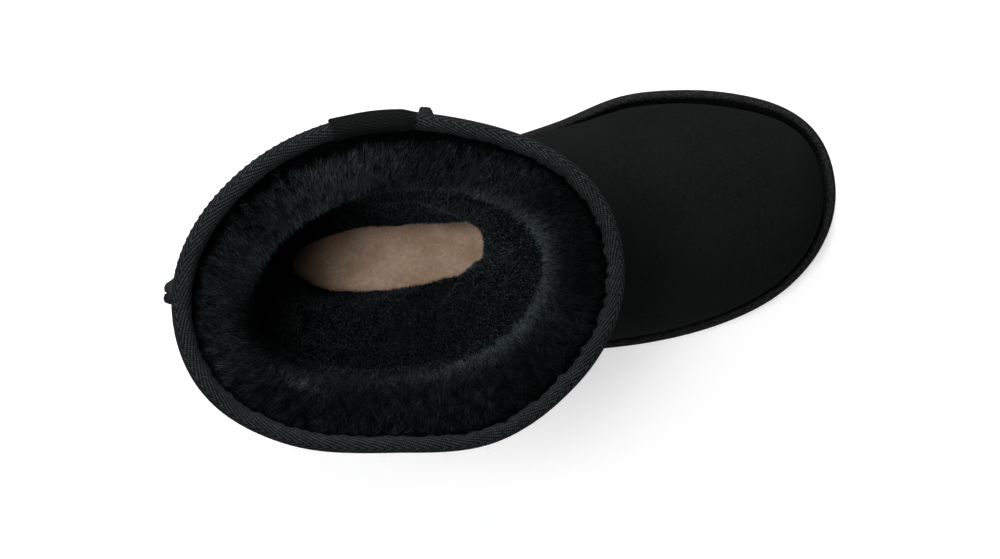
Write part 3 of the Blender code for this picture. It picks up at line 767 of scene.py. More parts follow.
def pile_face(turn, level, proud=0.0):
    """The face of the wool, or a place a distance proud of it, towards the foot."""
    turn, level = np.broadcast_arrays(np.asarray(turn, float), np.asarray(level, float))
    fuller = smooth(FULLNESS["turn"], FULLNESS["extra"], turn % 1.0)
    proud = proud + fuller * (1.0 - soft_step(level, FULL_FADE_FROM, FULL_FADE_TO))
    front = np.interp(level, FLEECE["level"], FLEECE["front"])
    beside = np.interp(level, FLEECE["level"], FLEECE["side"])
    behind = np.interp(level, FLEECE["level"], FLEECE["back"])
    around = 2.0 * np.pi * turn
    forward, across = np.cos(around), np.sin(around)
    lengthwise = np.where(forward > 0.0, front, behind)
    sideways = np.abs(across) ** PILE_SIDE_POWER
    depth = lengthwise * (1.0 - sideways) + beside * sideways + proud
    normal = upper_normal(turn, level)
    by_normal = normal * depth[..., None]
    low = np.clip((HEEL_FADE_TOP - level) / HEEL_FADE, 0.0, 1.0)
    heel = (soft_step(-forward * HEEL_SHARE_RISE, 0.0, 1.0) * low)[..., None]
    skin = upper_point(turn, level)
    half = np.abs(skin[..., 1] - HEEL_MIDDLE)
    inward = np.minimum((HEEL_PINCH * beside + proud) * np.sqrt(np.abs(across)), HEEL_MOST * half)
    by_axes = np.stack([(behind + proud) * forward, inward * np.sign(across), np.zeros_like(half)], axis=-1)
    backing = SUEDE + GAP
    return skin - normal * backing - by_normal * (1.0 - heel) - by_axes * heel


# Meshes.


def to_frame(points):
    """Points in the boot's millimetres, moved to the frame and its metres."""
    shift = np.array([SOLE_LENGTH / 2.0, 0.0, 0.0])
    return (np.asarray(points, float) - shift) * METRES_PER_MM


def mesh_object(name, points, corners, starts, material, uv=None):
    """An object of polygons, given as their corners in one row and where each starts."""
    mesh = bpy.data.meshes.new(name)
    mesh.vertices.add(len(points))
    mesh.vertices.foreach_set("co", to_frame(points).ravel())
    mesh.loops.add(len(corners))
    mesh.loops.foreach_set("vertex_index", np.asarray(corners, np.int32))
    mesh.polygons.add(len(starts))
    mesh.polygons.foreach_set("loop_start", np.asarray(starts, np.int32))
    mesh.update(calc_edges=True)
    mesh.validate()
    if uv is not None:
        layer = mesh.uv_layers.new(name="cloth")
        layer.data.foreach_set("uv", np.asarray(uv, np.float32).ravel())
    mesh.shade_smooth()
    thing = bpy.data.objects.new(name, mesh)
    thing.data.materials.append(material)
    bpy.context.scene.collection.objects.link(thing)
    return thing


def quads_of(rows, count, closed_rows=False, closed_turns=True):
    """Quads of a grid of points, and the same quads by their uncut row and place."""
    row_steps = rows if closed_rows else rows - 1
    turn_steps = count if closed_turns else count - 1
    row, place = np.meshgrid(np.arange(row_steps), np.arange(turn_steps), indexing="ij")
    row, place = row.ravel(), place.ravel()
    quad_rows = np.stack([row, row, row + 1, row + 1], axis=1)
    quad_places = np.stack([place, place + 1, place + 1, place], axis=1)
    corners = (quad_rows % rows) * count + quad_places % count
    return corners, quad_rows, quad_places


def grid_object(name, points, material, closed_rows=False, closed_turns=True, uv=None, flip=False):
    """An object from a grid of points. A uv grid has one more row or place where it closes."""
    rows, count = points.shape[:2]
    corners, quad_rows, quad_places = quads_of(rows, count, closed_rows, closed_turns)
    if flip:
        corners, quad_rows, quad_places = (part[:, ::-1] for part in (corners, quad_rows, quad_places))
    loop_uv = None if uv is None else uv[quad_rows, quad_places].reshape(-1, 2)
    starts = np.arange(len(corners)) * 4
    return mesh_object(name, points.reshape(-1, 3), corners.ravel(), starts, material, loop_uv)


def turns_of(count):
    """Evenly spaced turns all the way around."""
    return np.arange(count) / count


def lengths_around(ring):
    """Distance along a closed ring of points, with the whole length last."""
    steps = np.linalg.norm(np.roll(ring, -1, axis=0) - ring, axis=1)
    return np.concatenate([[0.0], np.cumsum(steps)])


def lengths_along(path):
    """Distance along an open row of points."""
    steps = np.linalg.norm(np.diff(path, axis=0), axis=1)
    return np.concatenate([[0.0], np.cumsum(steps)])


def resample(path, count, round_corners=1):
    """Evenly spaced points along a path, after its corners are cut a few times."""
    path = np.asarray(path, float)
    for _ in range(round_corners):
        after = np.roll(path, -1, axis=0)[:-1]
        here = path[:-1]
        cut = np.stack([here * 0.75 + after * 0.25, here * 0.25 + after * 0.75], axis=1)
        path = np.concatenate([path[:1], cut.reshape(-1, path.shape[1]), path[-1:]])
    along = lengths_along(path)
    at = np.linspace(0.0, along[-1], count)
    return np.stack([np.interp(at, along, path[:, axis]) for axis in range(path.shape[1])], axis=1)


def dress(piece, slot, *nodes):
    """Makes a piece ride on the boot and stand for CAD nodes, which it hides; the slot is not used."""
    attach(piece, BODY)
    if nodes:
        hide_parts(*nodes)
    return piece


def strands(name, lines, widths, tones, material):
    """Tapered strands of wool as one mesh: lines are (strand, station, xyz), root first.

    Each strand is a flat ribbon with its own twist. Its colour layer holds how far along
    the strand a place is, the strand's tone, and nothing else.
    """
    count, stations = lines.shape[:2]
    along = unit(np.gradient(lines, axis=1))
    twist = np.random.default_rng(count).normal(size=(count, 1, 3))
    side = unit(np.cross(along, np.broadcast_to(twist, along.shape)))
    share = np.linspace(0.0, 1.0, stations)
    taper = (1.0 - share**1.5)[None, :-1, None] * widths[:, None, None] / 2.0
    left = lines[:, :-1] - side[:, :-1] * taper
    right = lines[:, :-1] + side[:, :-1] * taper
    pairs = np.stack([left, right], axis=2).reshape(count, -1, 3)
    points = np.concatenate([pairs, lines[:, -1:]], axis=1)
    each = points.shape[1]
    base = np.arange(count)[:, None] * each
    pieces = []
    for station in range(stations - 2):
        low = 2 * station
        pieces.append(base + np.array([low, low + 1, low + 3, low + 2]))
    pieces.append(base + np.array([each - 3, each - 2, each - 1]))
    corners = np.concatenate(pieces, axis=1)
    starts = np.arange(count)[:, None] * corners.shape[1] + 4 * np.arange(stations - 1)[None, :]
    thing = mesh_object(name, points.reshape(-1, 3), corners.ravel(), starts.ravel(), material)
    place = np.concatenate([np.repeat(share[:-1], 2), share[-1:]])
    colour = np.ones((count, each, 4), np.float32)
    colour[:, :, 0] = place[None, :]
    colour[:, :, 1] = tones[:, None]
    layer = thing.data.color_attributes.new("strand", "FLOAT_COLOR", "POINT")
    layer.data.foreach_set("color", colour.ravel())
    return thing


# Materials.


class Shades:
    """A material's node tree, built a node at a time."""

    def __init__(self, name, roughness, specular=0.5, sheen=0.0, sheen_roughness=0.5):
        self.material = bpy.data.materials.new(name)
        self.material.use_nodes = True
        self.tree = self.material.node_tree
        self.shader = self.tree.nodes["Principled BSDF"]
        self.shader.inputs["Roughness"].default_value = roughness
        self.shader.inputs["Specular IOR Level"].default_value = specular
        self.shader.inputs["Sheen Weight"].default_value = sheen
        self.shader.inputs["Sheen Roughness"].default_value = sheen_roughness

    def node(self, kind, **settings):
        """A new node with its settings."""
        made = self.tree.nodes.new("ShaderNode" + kind)
        for key, value in settings.items():
            setattr(made, key, value)
        return made

    def put(self, socket, value):
        """Links a socket to another one, or sets its number or colour."""
        if isinstance(value, bpy.types.NodeSocket):
            self.tree.links.new(value, socket)
        elif value is not None:
            socket.default_value = value

    def place(self):
        """The object's own coordinates, in metres."""
        return self.node("TexCoord").outputs["Object"]

    def parts(self, vector):
        """The three numbers of a place."""
        split = self.node("SeparateXYZ")
        self.put(split.inputs[0], vector)
        return split.outputs

    def cloth(self):
        """The cloth layer's coordinates: along and across, in millimetres."""
        return self.node("UVMap", uv_map="cloth").outputs["UV"]

    def noise(self, scale, detail=2.0, roughness=0.5, vector=None):
        """Noise around one half, by features for each metre."""
        made = self.node("TexNoise")
        self.put(made.inputs["Vector"], vector or self.place())
        self.put(made.inputs["Scale"], scale)
        self.put(made.inputs["Detail"], detail)
        self.put(made.inputs["Roughness"], roughness)
        return made.outputs["Fac"]

    def math(self, operation, first, second=None, third=None):
        """A number worked out from others."""
        made = self.node("Math", operation=operation)
        for socket, value in zip(made.inputs, (first, second, third)):
            self.put(socket, value)
        return made.outputs[0]

    def range(self, value, low, high, new_low=0.0, new_high=1.0):
        """A number moved smoothly from one range to another."""
        made = self.node("MapRange", interpolation_type="SMOOTHSTEP")
        for socket, entry in zip(made.inputs, (value, low, high, new_low, new_high)):
            self.put(socket, entry)
        return made.outputs["Result"]

    def mix(self, share, first, second):
        """A colour between two."""
        made = self.node("Mix", data_type="RGBA")
        self.put(made.inputs["Factor"], share)
        self.put(made.inputs[6], first)
        self.put(made.inputs[7], second)
        return made.outputs[2]

    def bump(self, height, distance, strength=1.0, normal=None):
        """A bump of a height in metres."""
        made = self.node("Bump")
        self.put(made.inputs["Strength"], strength)
        self.put(made.inputs["Distance"], distance)
        self.put(made.inputs["Height"], height)
        self.put(made.inputs["Normal"], normal)
        return made.outputs["Normal"]

    def finish(self, colour, normal=None):
        """Sets the colour and the bump, and gives the material."""
        self.put(self.shader.inputs["Base Color"], colour)
        self.put(self.shader.inputs["Normal"], normal)
        return self.material


def grey(value, tint=COOL_TINT):
    """A near-black grey with a slight cool tint."""
    return (value * tint[0], value * tint[1], value * tint[2], 1.0)


def suede_material():
    """Matte nap with soft patches brushed lighter and darker."""
    suede = Shades("suede", roughness=0.9, specular=0.06)
    patches = suede.noise(28.0, 3.0)
    nap = suede.noise(900.0, 4.0, 0.7)
    grain = suede.noise(3200.0, 2.0, 0.6)
    flat, brushed, tips = (grey(value, SUEDE_TINT) for value in SUEDE_GREYS)
    tone = suede.mix(suede.range(patches, 0.35, 0.65), flat, brushed)
    tone = suede.mix(suede.range(nap, 0.3, 0.75), tone, tips)
    height = suede.math("ADD", suede.math("MULTIPLY", nap, 0.7), suede.math("MULTIPLY", grain, 0.3))
    return suede.finish(tone, suede.bump(height, 0.00025, 0.55))


def suede_edge_material():
    """The cut, rougher edge of suede in a raised seam."""
    suede = Shades("suede_edge", roughness=0.95, specular=0.1)
    fibre = suede.noise(2200.0, 3.0, 0.7)
    tone = suede.mix(suede.range(fibre, 0.35, 0.7), *map(grey, EDGE_GREYS))
    return suede.finish(tone, suede.bump(fibre, 0.0004, 0.7))


def thread_material():
    """Black sewing thread."""
    thread = Shades("thread", roughness=0.6, specular=0.25)
    fibre = thread.noise(5000.0, 2.0)
    return thread.finish(thread.mix(fibre, *map(grey, THREAD_GREYS)), thread.bump(fibre, 0.0001, 0.4))


def tape_material(name, greys):
    """Herringbone tape: ribs of twisted yarn that lean one way and the other in columns."""
    tape = Shades(name, roughness=0.75, specular=0.08)
    along, across, _ = tape.parts(tape.cloth())
    lean = tape.math("PINGPONG", across, TAPE_COLUMN)
    phase = tape.math("DIVIDE", tape.math("ADD", along, tape.math("MULTIPLY", lean, TAPE_LEAN)), TAPE_RIB)
    wave = tape.math("SINE", tape.math("MULTIPLY", phase, 2.0 * np.pi))
    rib = tape.range(wave, -0.9, 0.4, 0.08, 1.0)
    slant = tape.math("MULTIPLY", across, TAPE_YARN_SLANT)
    yarn = tape.math("MULTIPLY", tape.math("SUBTRACT", along, slant), 2.0 * np.pi / TAPE_YARN)
    bead = tape.range(tape.math("SINE", yarn), -0.7, 0.6, 0.3, 1.0)
    fuzz = tape.range(tape.noise(1700.0, 2.0), 0.35, 0.65, 0.3, 1.0)
    # Large soft patches where the tape is darker, at random.
    wear_and_shade = tape.range(tape.noise(90.0, 2.0), 0.3, 0.7, 0.75, 1.0)
    # Painted shade: the grooves between ribs and yarns are painted near black, the crests light.
    height = tape.math("MULTIPLY", rib, bead)
    share = tape.math("MULTIPLY", tape.math("MULTIPLY", height, fuzz), wear_and_shade)
    return tape.finish(tape.mix(share, *map(grey, greys)), tape.bump(height, 0.0005, 0.9))


def rand_material():
    """Fine twill band around the sole."""
    band = Shades("rand_twill", roughness=0.8, specular=0.1)
    along, across, _ = band.parts(band.cloth())
    phase = band.math(
        "ADD",
        band.math("MULTIPLY", along, 1.0 / RAND_RIB_ALONG),
        band.math("MULTIPLY", across, 1.0 / RAND_RIB_ACROSS),
    )
    wave = band.math("SINE", band.math("MULTIPLY", phase, 2.0 * np.pi))
    rib = band.range(wave, -1.0, 1.0, 0.45, 1.0)
    fuzz = band.range(band.noise(1100.0, 2.0), 0.4, 0.6, 0.15, 1.0)
    tone = band.mix(band.math("MULTIPLY", rib, fuzz), RAND_DARK, RAND_LIGHT)
    return band.finish(tone, band.bump(fuzz, 0.0003, 0.7))


def foam_material():
    """Closed foam rubber with a fine pebbled skin."""
    foam = Shades("foam_rubber", roughness=0.75, specular=0.15)
    pebble = foam.noise(1500.0, 2.0, 0.6)
    patches = foam.noise(40.0, 2.0)
    tone = foam.mix(patches, *(grey(value, NO_TINT) for value in FOAM_GREYS))
    return foam.finish(tone, foam.bump(pebble, 0.00015, 0.5))


def wool_body_material():
    """The dark body of the pile that shows between its strands, with painted light below the lip."""
    wool = Shades("wool_body", roughness=0.95, specular=0.02)
    curl = wool.noise(1000.0, 5.0, 0.75)
    x, _, z = wool.parts(wool.place())
    # Painted light: the walls below the lip and ahead of the heel take the lit greys, the rest stays
    # shaded.
    below_lip = wool.math("SUBTRACT", 1.0, wool.range(z, *BODY_LIP_Z))
    painted_lit_wall = wool.math("MULTIPLY", below_lip, wool.range(x, *BODY_AHEAD_X))
    dark = wool.mix(painted_lit_wall, *map(grey, BODY_SHADED_GREYS, (ROOT_TINT, WOOL_TINT)))
    light = wool.mix(painted_lit_wall, *map(grey, BODY_LIT_GREYS, (ROOT_TINT, WOOL_TINT)))
    tone = wool.mix(wool.range(curl, 0.4, 0.7), dark, light)
    return wool.finish(tone, wool.bump(curl, 0.0016, 0.9))


def wool_strand_material(name, root, tip, specular):
    """Strands that turn from one colour at the root to another at the tip."""
    wool = Shades(name, roughness=0.6, specular=specular)
    layer = wool.node("Attribute", attribute_name="strand")
    split = wool.node("SeparateColor")
    wool.put(split.inputs[0], layer.outputs["Color"])
    share = wool.math("MULTIPLY", wool.range(split.outputs[0], 0.15, 1.0), split.outputs[1])
    return wool.finish(wool.mix(share, root, tip))


def black_wool_material(name, greys, tint):
    """Black strands, from the grey of their roots to that of their tips."""
    root, tip = greys
    return wool_strand_material(name, grey(root, ROOT_TINT), grey(tip, tint), 0.03)


def natural_wool_material():
    """Cropped natural wool in soft patches of cream and tan, with painted shade towards the heel."""
    wool = Shades("natural_wool", roughness=0.95, specular=0.1, sheen=0.1)
    x, _, _ = wool.parts(wool.place())
    patches = wool.noise(75.0, 4.0, 0.6)
    nap = wool.noise(700.0, 5.0, 0.75)
    tone = wool.mix(wool.range(patches, 0.35, 0.65), TAN, CREAM)
    tone = wool.mix(wool.range(nap, 0.3, 0.7), wool.mix(0.55, tone, NAP_SHADE), tone)
    # Painted shade: the insole darkens to brown towards the heel, where the heel's pile shades it.
    wear_and_shade = wool.range(x, *HEEL_SHADE_X)
    tone = wool.mix(wear_and_shade, wool.mix(0.7, tone, HEEL_SHADE_BROWN), tone)
    return wool.finish(tone, wool.bump(nap, 0.0014, 0.8))


# Upper, seams and counter.


def crease_height(turn, level):
    """How far the suede stands out of its plain form."""
    height = np.zeros(np.broadcast(turn, level).shape)
    for middle, at_level, reach, rise, lean, size in zip(*CREASES.values()):
        across = turn_gap(turn, middle)
        up = level - at_level - lean * across * CREASE_LEAN
        height = height + size * bump_at(across, 0.0, reach) * bump_at(up, 0.0, rise)
    return height * soft_step(level, *CREASES_BEGIN) * (1.0 - soft_step(level, *CREASES_END))


def build_upper(material):
    """The suede upper, a hollow shell open at the collar and turned in under the foot."""
    turns = turns_of(UPPER_TURNS)
    levels = np.linspace(0.0, 1.0, UPPER_LEVELS)
    inner_levels = np.linspace(1.0, 0.0, INNER_LEVELS)[:-1]
    creases = crease_height(turns[None, :], levels[1:, None])
    outside = upper_offset(turns[None, :], levels[1:, None], creases)
    inside = upper_offset(turns[None, :], inner_levels[:, None], -SUEDE)
    rows = [last_edge(turns, -LASTING_MARGIN, GAP), last_edge(turns, 0.0, GAP)]
    rows += list(outside) + list(inside)
    rows += [last_edge(turns, -SUEDE, GAP + SUEDE), last_edge(turns, -LASTING_MARGIN, GAP + SUEDE)]
    piece = grid_object("suede_upper", np.array(rows), material, closed_rows=True)
    return dress(piece, "black_suede", "upper")


def seam_places(row, stations):
    """Turns and levels along a raised seam, and how much width one turn holds there."""
    name, side, low_x, top_x, low_level = row[:5]
    top_level = float(level_under_collar(BINDING_OUTER_DROP + GAP))
    levels = np.linspace(low_level, top_level, stations)
    share = np.linspace(0.0, 1.0, stations)
    turns = np.full(stations, BACK_SEAM_TURN)
    if name != "back_seam":
        turns = side * turn_at(top_x + (low_x - top_x) * (1.0 - share) ** SEAM_SWEEP, levels)
    per_turn = np.linalg.norm(direction_around(turns, levels), axis=-1) / (2.0 * SLOPE_STEP)
    return turns, levels, per_turn


def build_seam(row, material):
    """A raised seam: two cut edges of suede sewn together outwards."""
    name, _, _, _, _, width, height = row
    turns, levels, per_turn = seam_places(row, SEAM_STATIONS)
    uneven = 1.0 + SEAM_WAVER * np.sin(np.arange(SEAM_STATIONS) * SEAM_WAVE)
    seat = SEAM_SEAT * SEAM_TUCK
    rows = []
    for across, up in SEAM_PROFILE:
        out = seat + (height - seat) * up * uneven
        rows.append(upper_offset(turns + across * width * uneven / per_turn, levels, out))
    piece = grid_object(name + "_suede", np.array(rows), material, closed_rows=True, closed_turns=False)
    fill_ends(piece)
    return dress(piece, "black_suede", name)


def fill_ends(piece):
    """Closes the open ends of a tube."""
    work = bmesh.new()
    work.from_mesh(piece.data)
    edges = [edge for edge in work.edges if len(edge.link_faces) == 1]
    bmesh.ops.holes_fill(work, edges=edges, sides=0)
    bmesh.ops.recalc_face_normals(work, faces=work.faces)
    work.to_mesh(piece.data)
    work.free()


def stitch_mesh(name, starts, ends, normals, radius, material, arch=STITCH_ARCH):
    """Rows of stitches as one mesh: each is a short thread that arches over the surface."""
    count = len(starts)
    share = np.linspace(0.0, 1.0, STITCH_STATIONS)
    rise = np.sin(np.pi * share) * arch - STITCH_SUNK
    path = starts[:, None] + (ends - starts)[:, None] * share[None, :, None]
    path = path + normals[:, None] * rise[None, :, None]
    along = unit(np.gradient(path, axis=1))
    side = unit(np.cross(along, normals[:, None]))
    up = np.cross(side, along)
    angles = np.linspace(0.0, 2.0 * np.pi, STITCH_SIDES, endpoint=False)
    fat = radius * (STITCH_ENDS + (1.0 - STITCH_ENDS) * np.sin(np.pi * share))
    ring = side[:, :, None] * np.cos(angles)[:, None] + up[:, :, None] * np.sin(angles)[:, None]
    points = path[:, :, None] + ring * fat[None, :, None, None]
    corners, _, _ = quads_of(STITCH_STATIONS, STITCH_SIDES)
    base = np.arange(count)[:, None, None] * STITCH_STATIONS * STITCH_SIDES
    corners = (base + corners[None]).reshape(-1, 4)[:, ::-1]
    piece = mesh_object(name, points.reshape(-1, 3), corners.ravel(), np.arange(len(corners)) * 4, material)
    return dress(piece, "black_suede")


def stitch_row(path_turns, path_levels, out, pitch):
    """Starts, ends and normals of evenly spaced stitches along a path on the upper."""
    path = upper_offset(path_turns, path_levels, out)
    along = lengths_along(path)
    count = int(along[-1] / pitch)
    begin = (np.arange(count) + 0.5 * (1.0 - STITCH_FILL)) * pitch
    places = []
    for at in (begin, begin + pitch * STITCH_FILL):
        turns = np.interp(at, along, path_turns)
        levels = np.interp(at, along, path_levels)
        places.append(upper_offset(turns, levels, out))
    normals = upper_normal(np.interp(begin, along, path_turns), np.interp(begin, along, path_levels))
    return places[0], places[1], normals


def build_seam_stitches(material):
    """Over-and-over stitches that cross the raised side seams."""
    starts, ends, normals = [], [], []
    for row in SEAMS[:2]:
        width, height = row[5:]
        turns, levels, per_turn = seam_places(row, SEAM_PATH_POINTS)
        along = lengths_along(upper_point(turns, levels))
        at = np.arange(SEAM_STITCH_END, along[-1] - SEAM_STITCH_END, SEAM_STITCH_PITCH)
        turn, level = np.interp(at, along, turns), np.interp(at, along, levels)
        half = 0.5 * width / np.interp(at, along, per_turn)
        out = height * SEAM_STITCH_SEAT
        starts.append(upper_offset(turn - half, level, out))
        ends.append(upper_offset(turn + half, level + SEAM_STITCH_CLIMB, out))
        normals.append(upper_normal(turn, level))
    joined = [np.concatenate(part) for part in (starts, ends, normals)]
    return stitch_mesh("seam_stitches", *joined, SEAM_STITCH_RADIUS, material, arch=SEAM_STITCH_ARCH)


def counter_top(turn):
    """Level of the upper edge of the heel counter."""
    reach = np.clip(np.abs(turn_gap(turn, 0.5)) / COUNTER_REACH, 0.0, 1.0)
    arch = np.cos(reach * np.pi / 2) ** COUNTER_ARCH
    return COUNTER_SIDE_LEVEL + (COUNTER_TOP_LEVEL - COUNTER_SIDE_LEVEL) * arch


def build_counter(material):
    """The heel counter, with a soft turned edge."""
    turns = np.linspace(0.5 - COUNTER_REACH, 0.5 + COUNTER_REACH, COUNTER_TURNS)
    tops = counter_top(turns)
    rows = []
    for share in np.linspace(0.0, 1.0, COUNTER_ROWS):
        edge = min(share, 1.0 - share) * (COUNTER_ROWS - 1) / 2.0
        out = GAP + COUNTER_THICKNESS * (COUNTER_EDGE + (1.0 - COUNTER_EDGE) * min(edge, 1.0))
        levels = COUNTER_LOW_LEVEL + (tops - COUNTER_LOW_LEVEL) * share
        side = soft_step(COUNTER_REACH - np.abs(turns - 0.5), 0.0, COUNTER_SIDE_FADE)
        proud = GAP * 0.5 + (out - GAP * 0.5) * side
        rows.append(upper_offset(turns, levels, proud + crease_height(turns, levels)))
    for share in (1.0, 0.0):
        levels = COUNTER_LOW_LEVEL + (tops - COUNTER_LOW_LEVEL) * share
        rows.append(upper_offset(turns, levels, GAP * 0.3))
    piece = grid_object("counter_suede", np.array(rows), material, closed_rows=True, closed_turns=False)
    fill_ends(piece)
    return dress(piece, "black_suede", "heel_counter")


def build_counter_stitches(material):
    """Two rows of stitches along the upper edge of the heel counter."""
    reach = COUNTER_REACH - COUNTER_STITCH_INSET
    turns = np.linspace(0.5 - reach, 0.5 + reach, COUNTER_STITCH_POINTS)
    parts = []
    for below in COUNTER_STITCH_ROWS:
        levels = np.maximum(counter_top(turns) - below, COUNTER_LOW_LEVEL + COUNTER_STITCH_LIFT)
        parts.append(stitch_row(turns, levels, GAP + COUNTER_THICKNESS, COUNTER_STITCH_PITCH))
    joined = [np.concatenate(part) for part in zip(*parts)]
    return stitch_mesh("counter_stitches", *joined, COUNTER_STITCH_RADIUS, material)


# Collar tape.


def binding_section(extra):
    """The tape's section from its outer edge over the collar to its inner edge.

    Each row is how far it lies below the collar, how far out from the suede's face, how
    much of the puckering it takes, and its share of the way down the inner side.
    """
    face = GAP + BINDING_TAPE + extra
    top = -(GAP + BINDING_TAPE + extra)
    back = -TAPE_BACK - extra
    path = (
        (BINDING_OUTER_DROP, face - 0.5, 0.0),
        (BINDING_OUTER_DROP - 0.4, face, 0.0),
        (4.0, face + 0.1, 0.0),
        (1.0, face, 0.0),
        (top * 0.75, face - 0.9, 0.0),
        (top, -2.0, 0.1),
        (top * 0.75, back + 1.2, 0.4),
        (1.0, back, 0.8),
        (TAPE_DROP * 0.6, back + 0.1, 1.0),
        (TAPE_DROP, back + 0.5, 1.0),
    )
    return resample(path, TAPE_STATIONS, round_corners=2)


def pucker(turn):
    """Ripple of the tape's inner edge."""
    size = 0.0
    for middle, reach, height in zip(*PUCKERS.values()):
        size = size + height * bump_at(turn_gap(turn, middle), 0.0, reach)
    first, second, third = (np.sin(2.0 * np.pi * turn * waves + waves) for waves in PUCKER_WAVES)
    return 0.5 * size * (0.5 * first + 0.45 * second + 0.6 * third)


def tape_point(turn, drop, out, rippled):
    """A point of the tape around the collar, with its inner side where the table puts it."""
    face = smooth(TAPE_INSIDE["turn"], TAPE_INSIDE["face"], turn % 1.0)
    reach = smooth(TAPE_INSIDE["turn"], TAPE_INSIDE["drop"], turn % 1.0)
    inner = out < TAPE_MIDDLE
    moved = TAPE_MIDDLE + (out - TAPE_MIDDLE) * (face + TAPE_MIDDLE) / (TAPE_BACK + TAPE_MIDDLE)
    out = np.where(inner, moved, out)
    drop = np.where(inner & (drop > 0.0), drop * reach / TAPE_DROP, drop)
    level = level_under_collar(np.maximum(drop, 0.0))
    point = upper_offset(turn, level, out + rippled * pucker(turn))
    point[..., 2] += np.maximum(-drop, 0.0)
    return point


def tape_uv(points, section, closed):
    """Cloth coordinates of a tape: whole ribs along it, and across from its crest."""
    middle = points[len(points) // 2]
    along = lengths_around(middle) if closed else lengths_along(middle)
    if closed:
        along = along * (np.round(along[-1] / TAPE_RIB) * TAPE_RIB / along[-1])
    across = lengths_along(section[:, :2])
    crest = np.interp(np.argmin(section[:, 0]), np.arange(len(across)), across)
    grid = np.zeros((len(section), len(along), 2))
    grid[:, :, 0] = along[None, :]
    grid[:, :, 1] = (across - crest + TAPE_SPINE)[:, None]
    return grid


def build_tape(material):
    """The tape folded over the edge of suede and sheepskin."""
    turns = turns_of(TAPE_TURNS)
    section = binding_section(0.0)
    drops, outs, ripples = (section[:, place][:, None] for place in range(3))
    points = tape_point(turns[None, :], drops, outs, ripples)
    piece = grid_object("collar_tape", points, material, uv=tape_uv(points, section, True))
    thicken(piece, TAPE_SHEET)
    return dress(piece, "black_tape", "collar_binding")


def thicken(piece, millimetres):
    """Gives a sheet of cloth its thickness."""
    solid = piece.modifiers.new("thickness", "SOLIDIFY")
    solid.thickness = millimetres * METRES_PER_MM
    solid.offset = -1.0
    solid.use_even_offset = False


def build_tape_join(material):
    """The second layer of tape where its ends overlap, with square cut ends."""
    turns = np.linspace(JOIN_FROM, JOIN_TO, JOIN_STATIONS)
    section = binding_section(GAP + BINDING_TAPE * JOIN_LAYER)
    drops, outs, ripples = (section[:, place][:, None] for place in range(3))
    sunk = JOIN_SUNK * (1.0 - soft_step(turns, JOIN_FROM, JOIN_FROM + JOIN_SUNK_TURNS))
    outward = np.where(outs > JOIN_CREST, 1.0, -1.0)
    swell = JOIN_SWELL * bump_at(turns, JOIN_TO, JOIN_SWELL_TURNS)
    outs = outs + (swell - sunk)[None, :] * outward
    drops = drops + sunk[None, :] * (drops < 0.0)
    points = tape_point(turns[None, :], drops, outs, ripples)
    uv = tape_uv(points, section, False)
    piece = grid_object("tape_join", points, material, closed_turns=False, uv=uv)
    thicken(piece, JOIN_SHEET)
    return dress(piece, "black_tape", "binding_join")


def build_tape_stitches(material):
    """One row of stitches near the outer edge of the tape."""
    turns = np.linspace(0.0, 1.0, TAPE_STITCH_POINTS)
    level = level_under_collar(BINDING_OUTER_DROP - TAPE_STITCH_INSET)
    out = GAP + BINDING_TAPE + TAPE_STITCH_PROUD
    row = stitch_row(turns, np.full(TAPE_STITCH_POINTS, level), out, TAPE_STITCH_PITCH)
    return stitch_mesh("tape_stitches", *row, TAPE_STITCH_RADIUS, material)


# Sole and rand.


def build_outsole(material):
    """The foam rubber sole with its grooves."""
    turns = turns_of(SOLE_TURNS)
    side = resample(rows_of(SOLE_SIDE)[::-1], SOLE_SIDE_STATIONS, round_corners=2)
    rows = []
    for share, out in side:
        ring = last_edge(turns, out, 0.0)
        low = underside(ring[:, 0])
        ring[:, 2] = low + (ring[:, 2] - low) * share
        rows.append(ring)
    piece = grid_object("foam_sole", np.array(rows), material)
    cap_ends(piece, SOLE_TURNS, len(rows))
    cut_grooves(piece, material)
    return dress(piece, "black_foam", "outsole")


def cap_ends(piece, count, rows):
    """Closes the bottom and top of a stack of rings with bands straight across."""
    work = bmesh.new()
    work.from_mesh(piece.data)
    work.verts.ensure_lookup_table()
    for start in (0, (rows - 1) * count):
        half = count // 2
        pairs = [(start + place, start + (count - place) % count) for place in range(half + 1)]
        for (left, right), (next_left, next_right) in zip(pairs[:-1], pairs[1:]):
            corners = []
            for corner in (left, next_left, next_right, right):
                if corner not in corners:
                    corners.append(corner)
            work.faces.new([work.verts[corner] for corner in corners])
    bmesh.ops.recalc_face_normals(work, faces=work.faces)
    work.to_mesh(piece.data)
    work.free()


def groove_cutter(middle_x, material):
    """A bar bowed towards the toe, which cuts one groove right across the tread."""
    across = np.linspace(-GROOVE_HALF_SPAN, GROOVE_HALF_SPAN, GROOVE_STATIONS)
    bow = GROOVE_BOW * (1.0 - (across / GROOVE_HALF_SPAN) ** 2 * GROOVE_BOW_ENDS)
    roof = float(underside(middle_x)) + GROOVE_DEPTH
    half = GROOVE_WIDTH / 2
    section = np.array([
        (-half, CUTTER_FLOOR),
        (-half, roof - GROOVE_CORNER),
        (-half + GROOVE_CORNER, roof),
        (half - GROOVE_CORNER, roof),
        (half, roof - GROOVE_CORNER),
        (half, CUTTER_FLOOR),
    ])
    points = np.zeros((len(across), len(section), 3))
    points[:, :, 0] = middle_x + bow[:, None] + section[None, :, 0]
    points[:, :, 1] = across[:, None]
    points[:, :, 2] = section[None, :, 1]
    cutter = grid_object("groove_cutter", points, material)
    fill_ends(cutter)
    return cutter


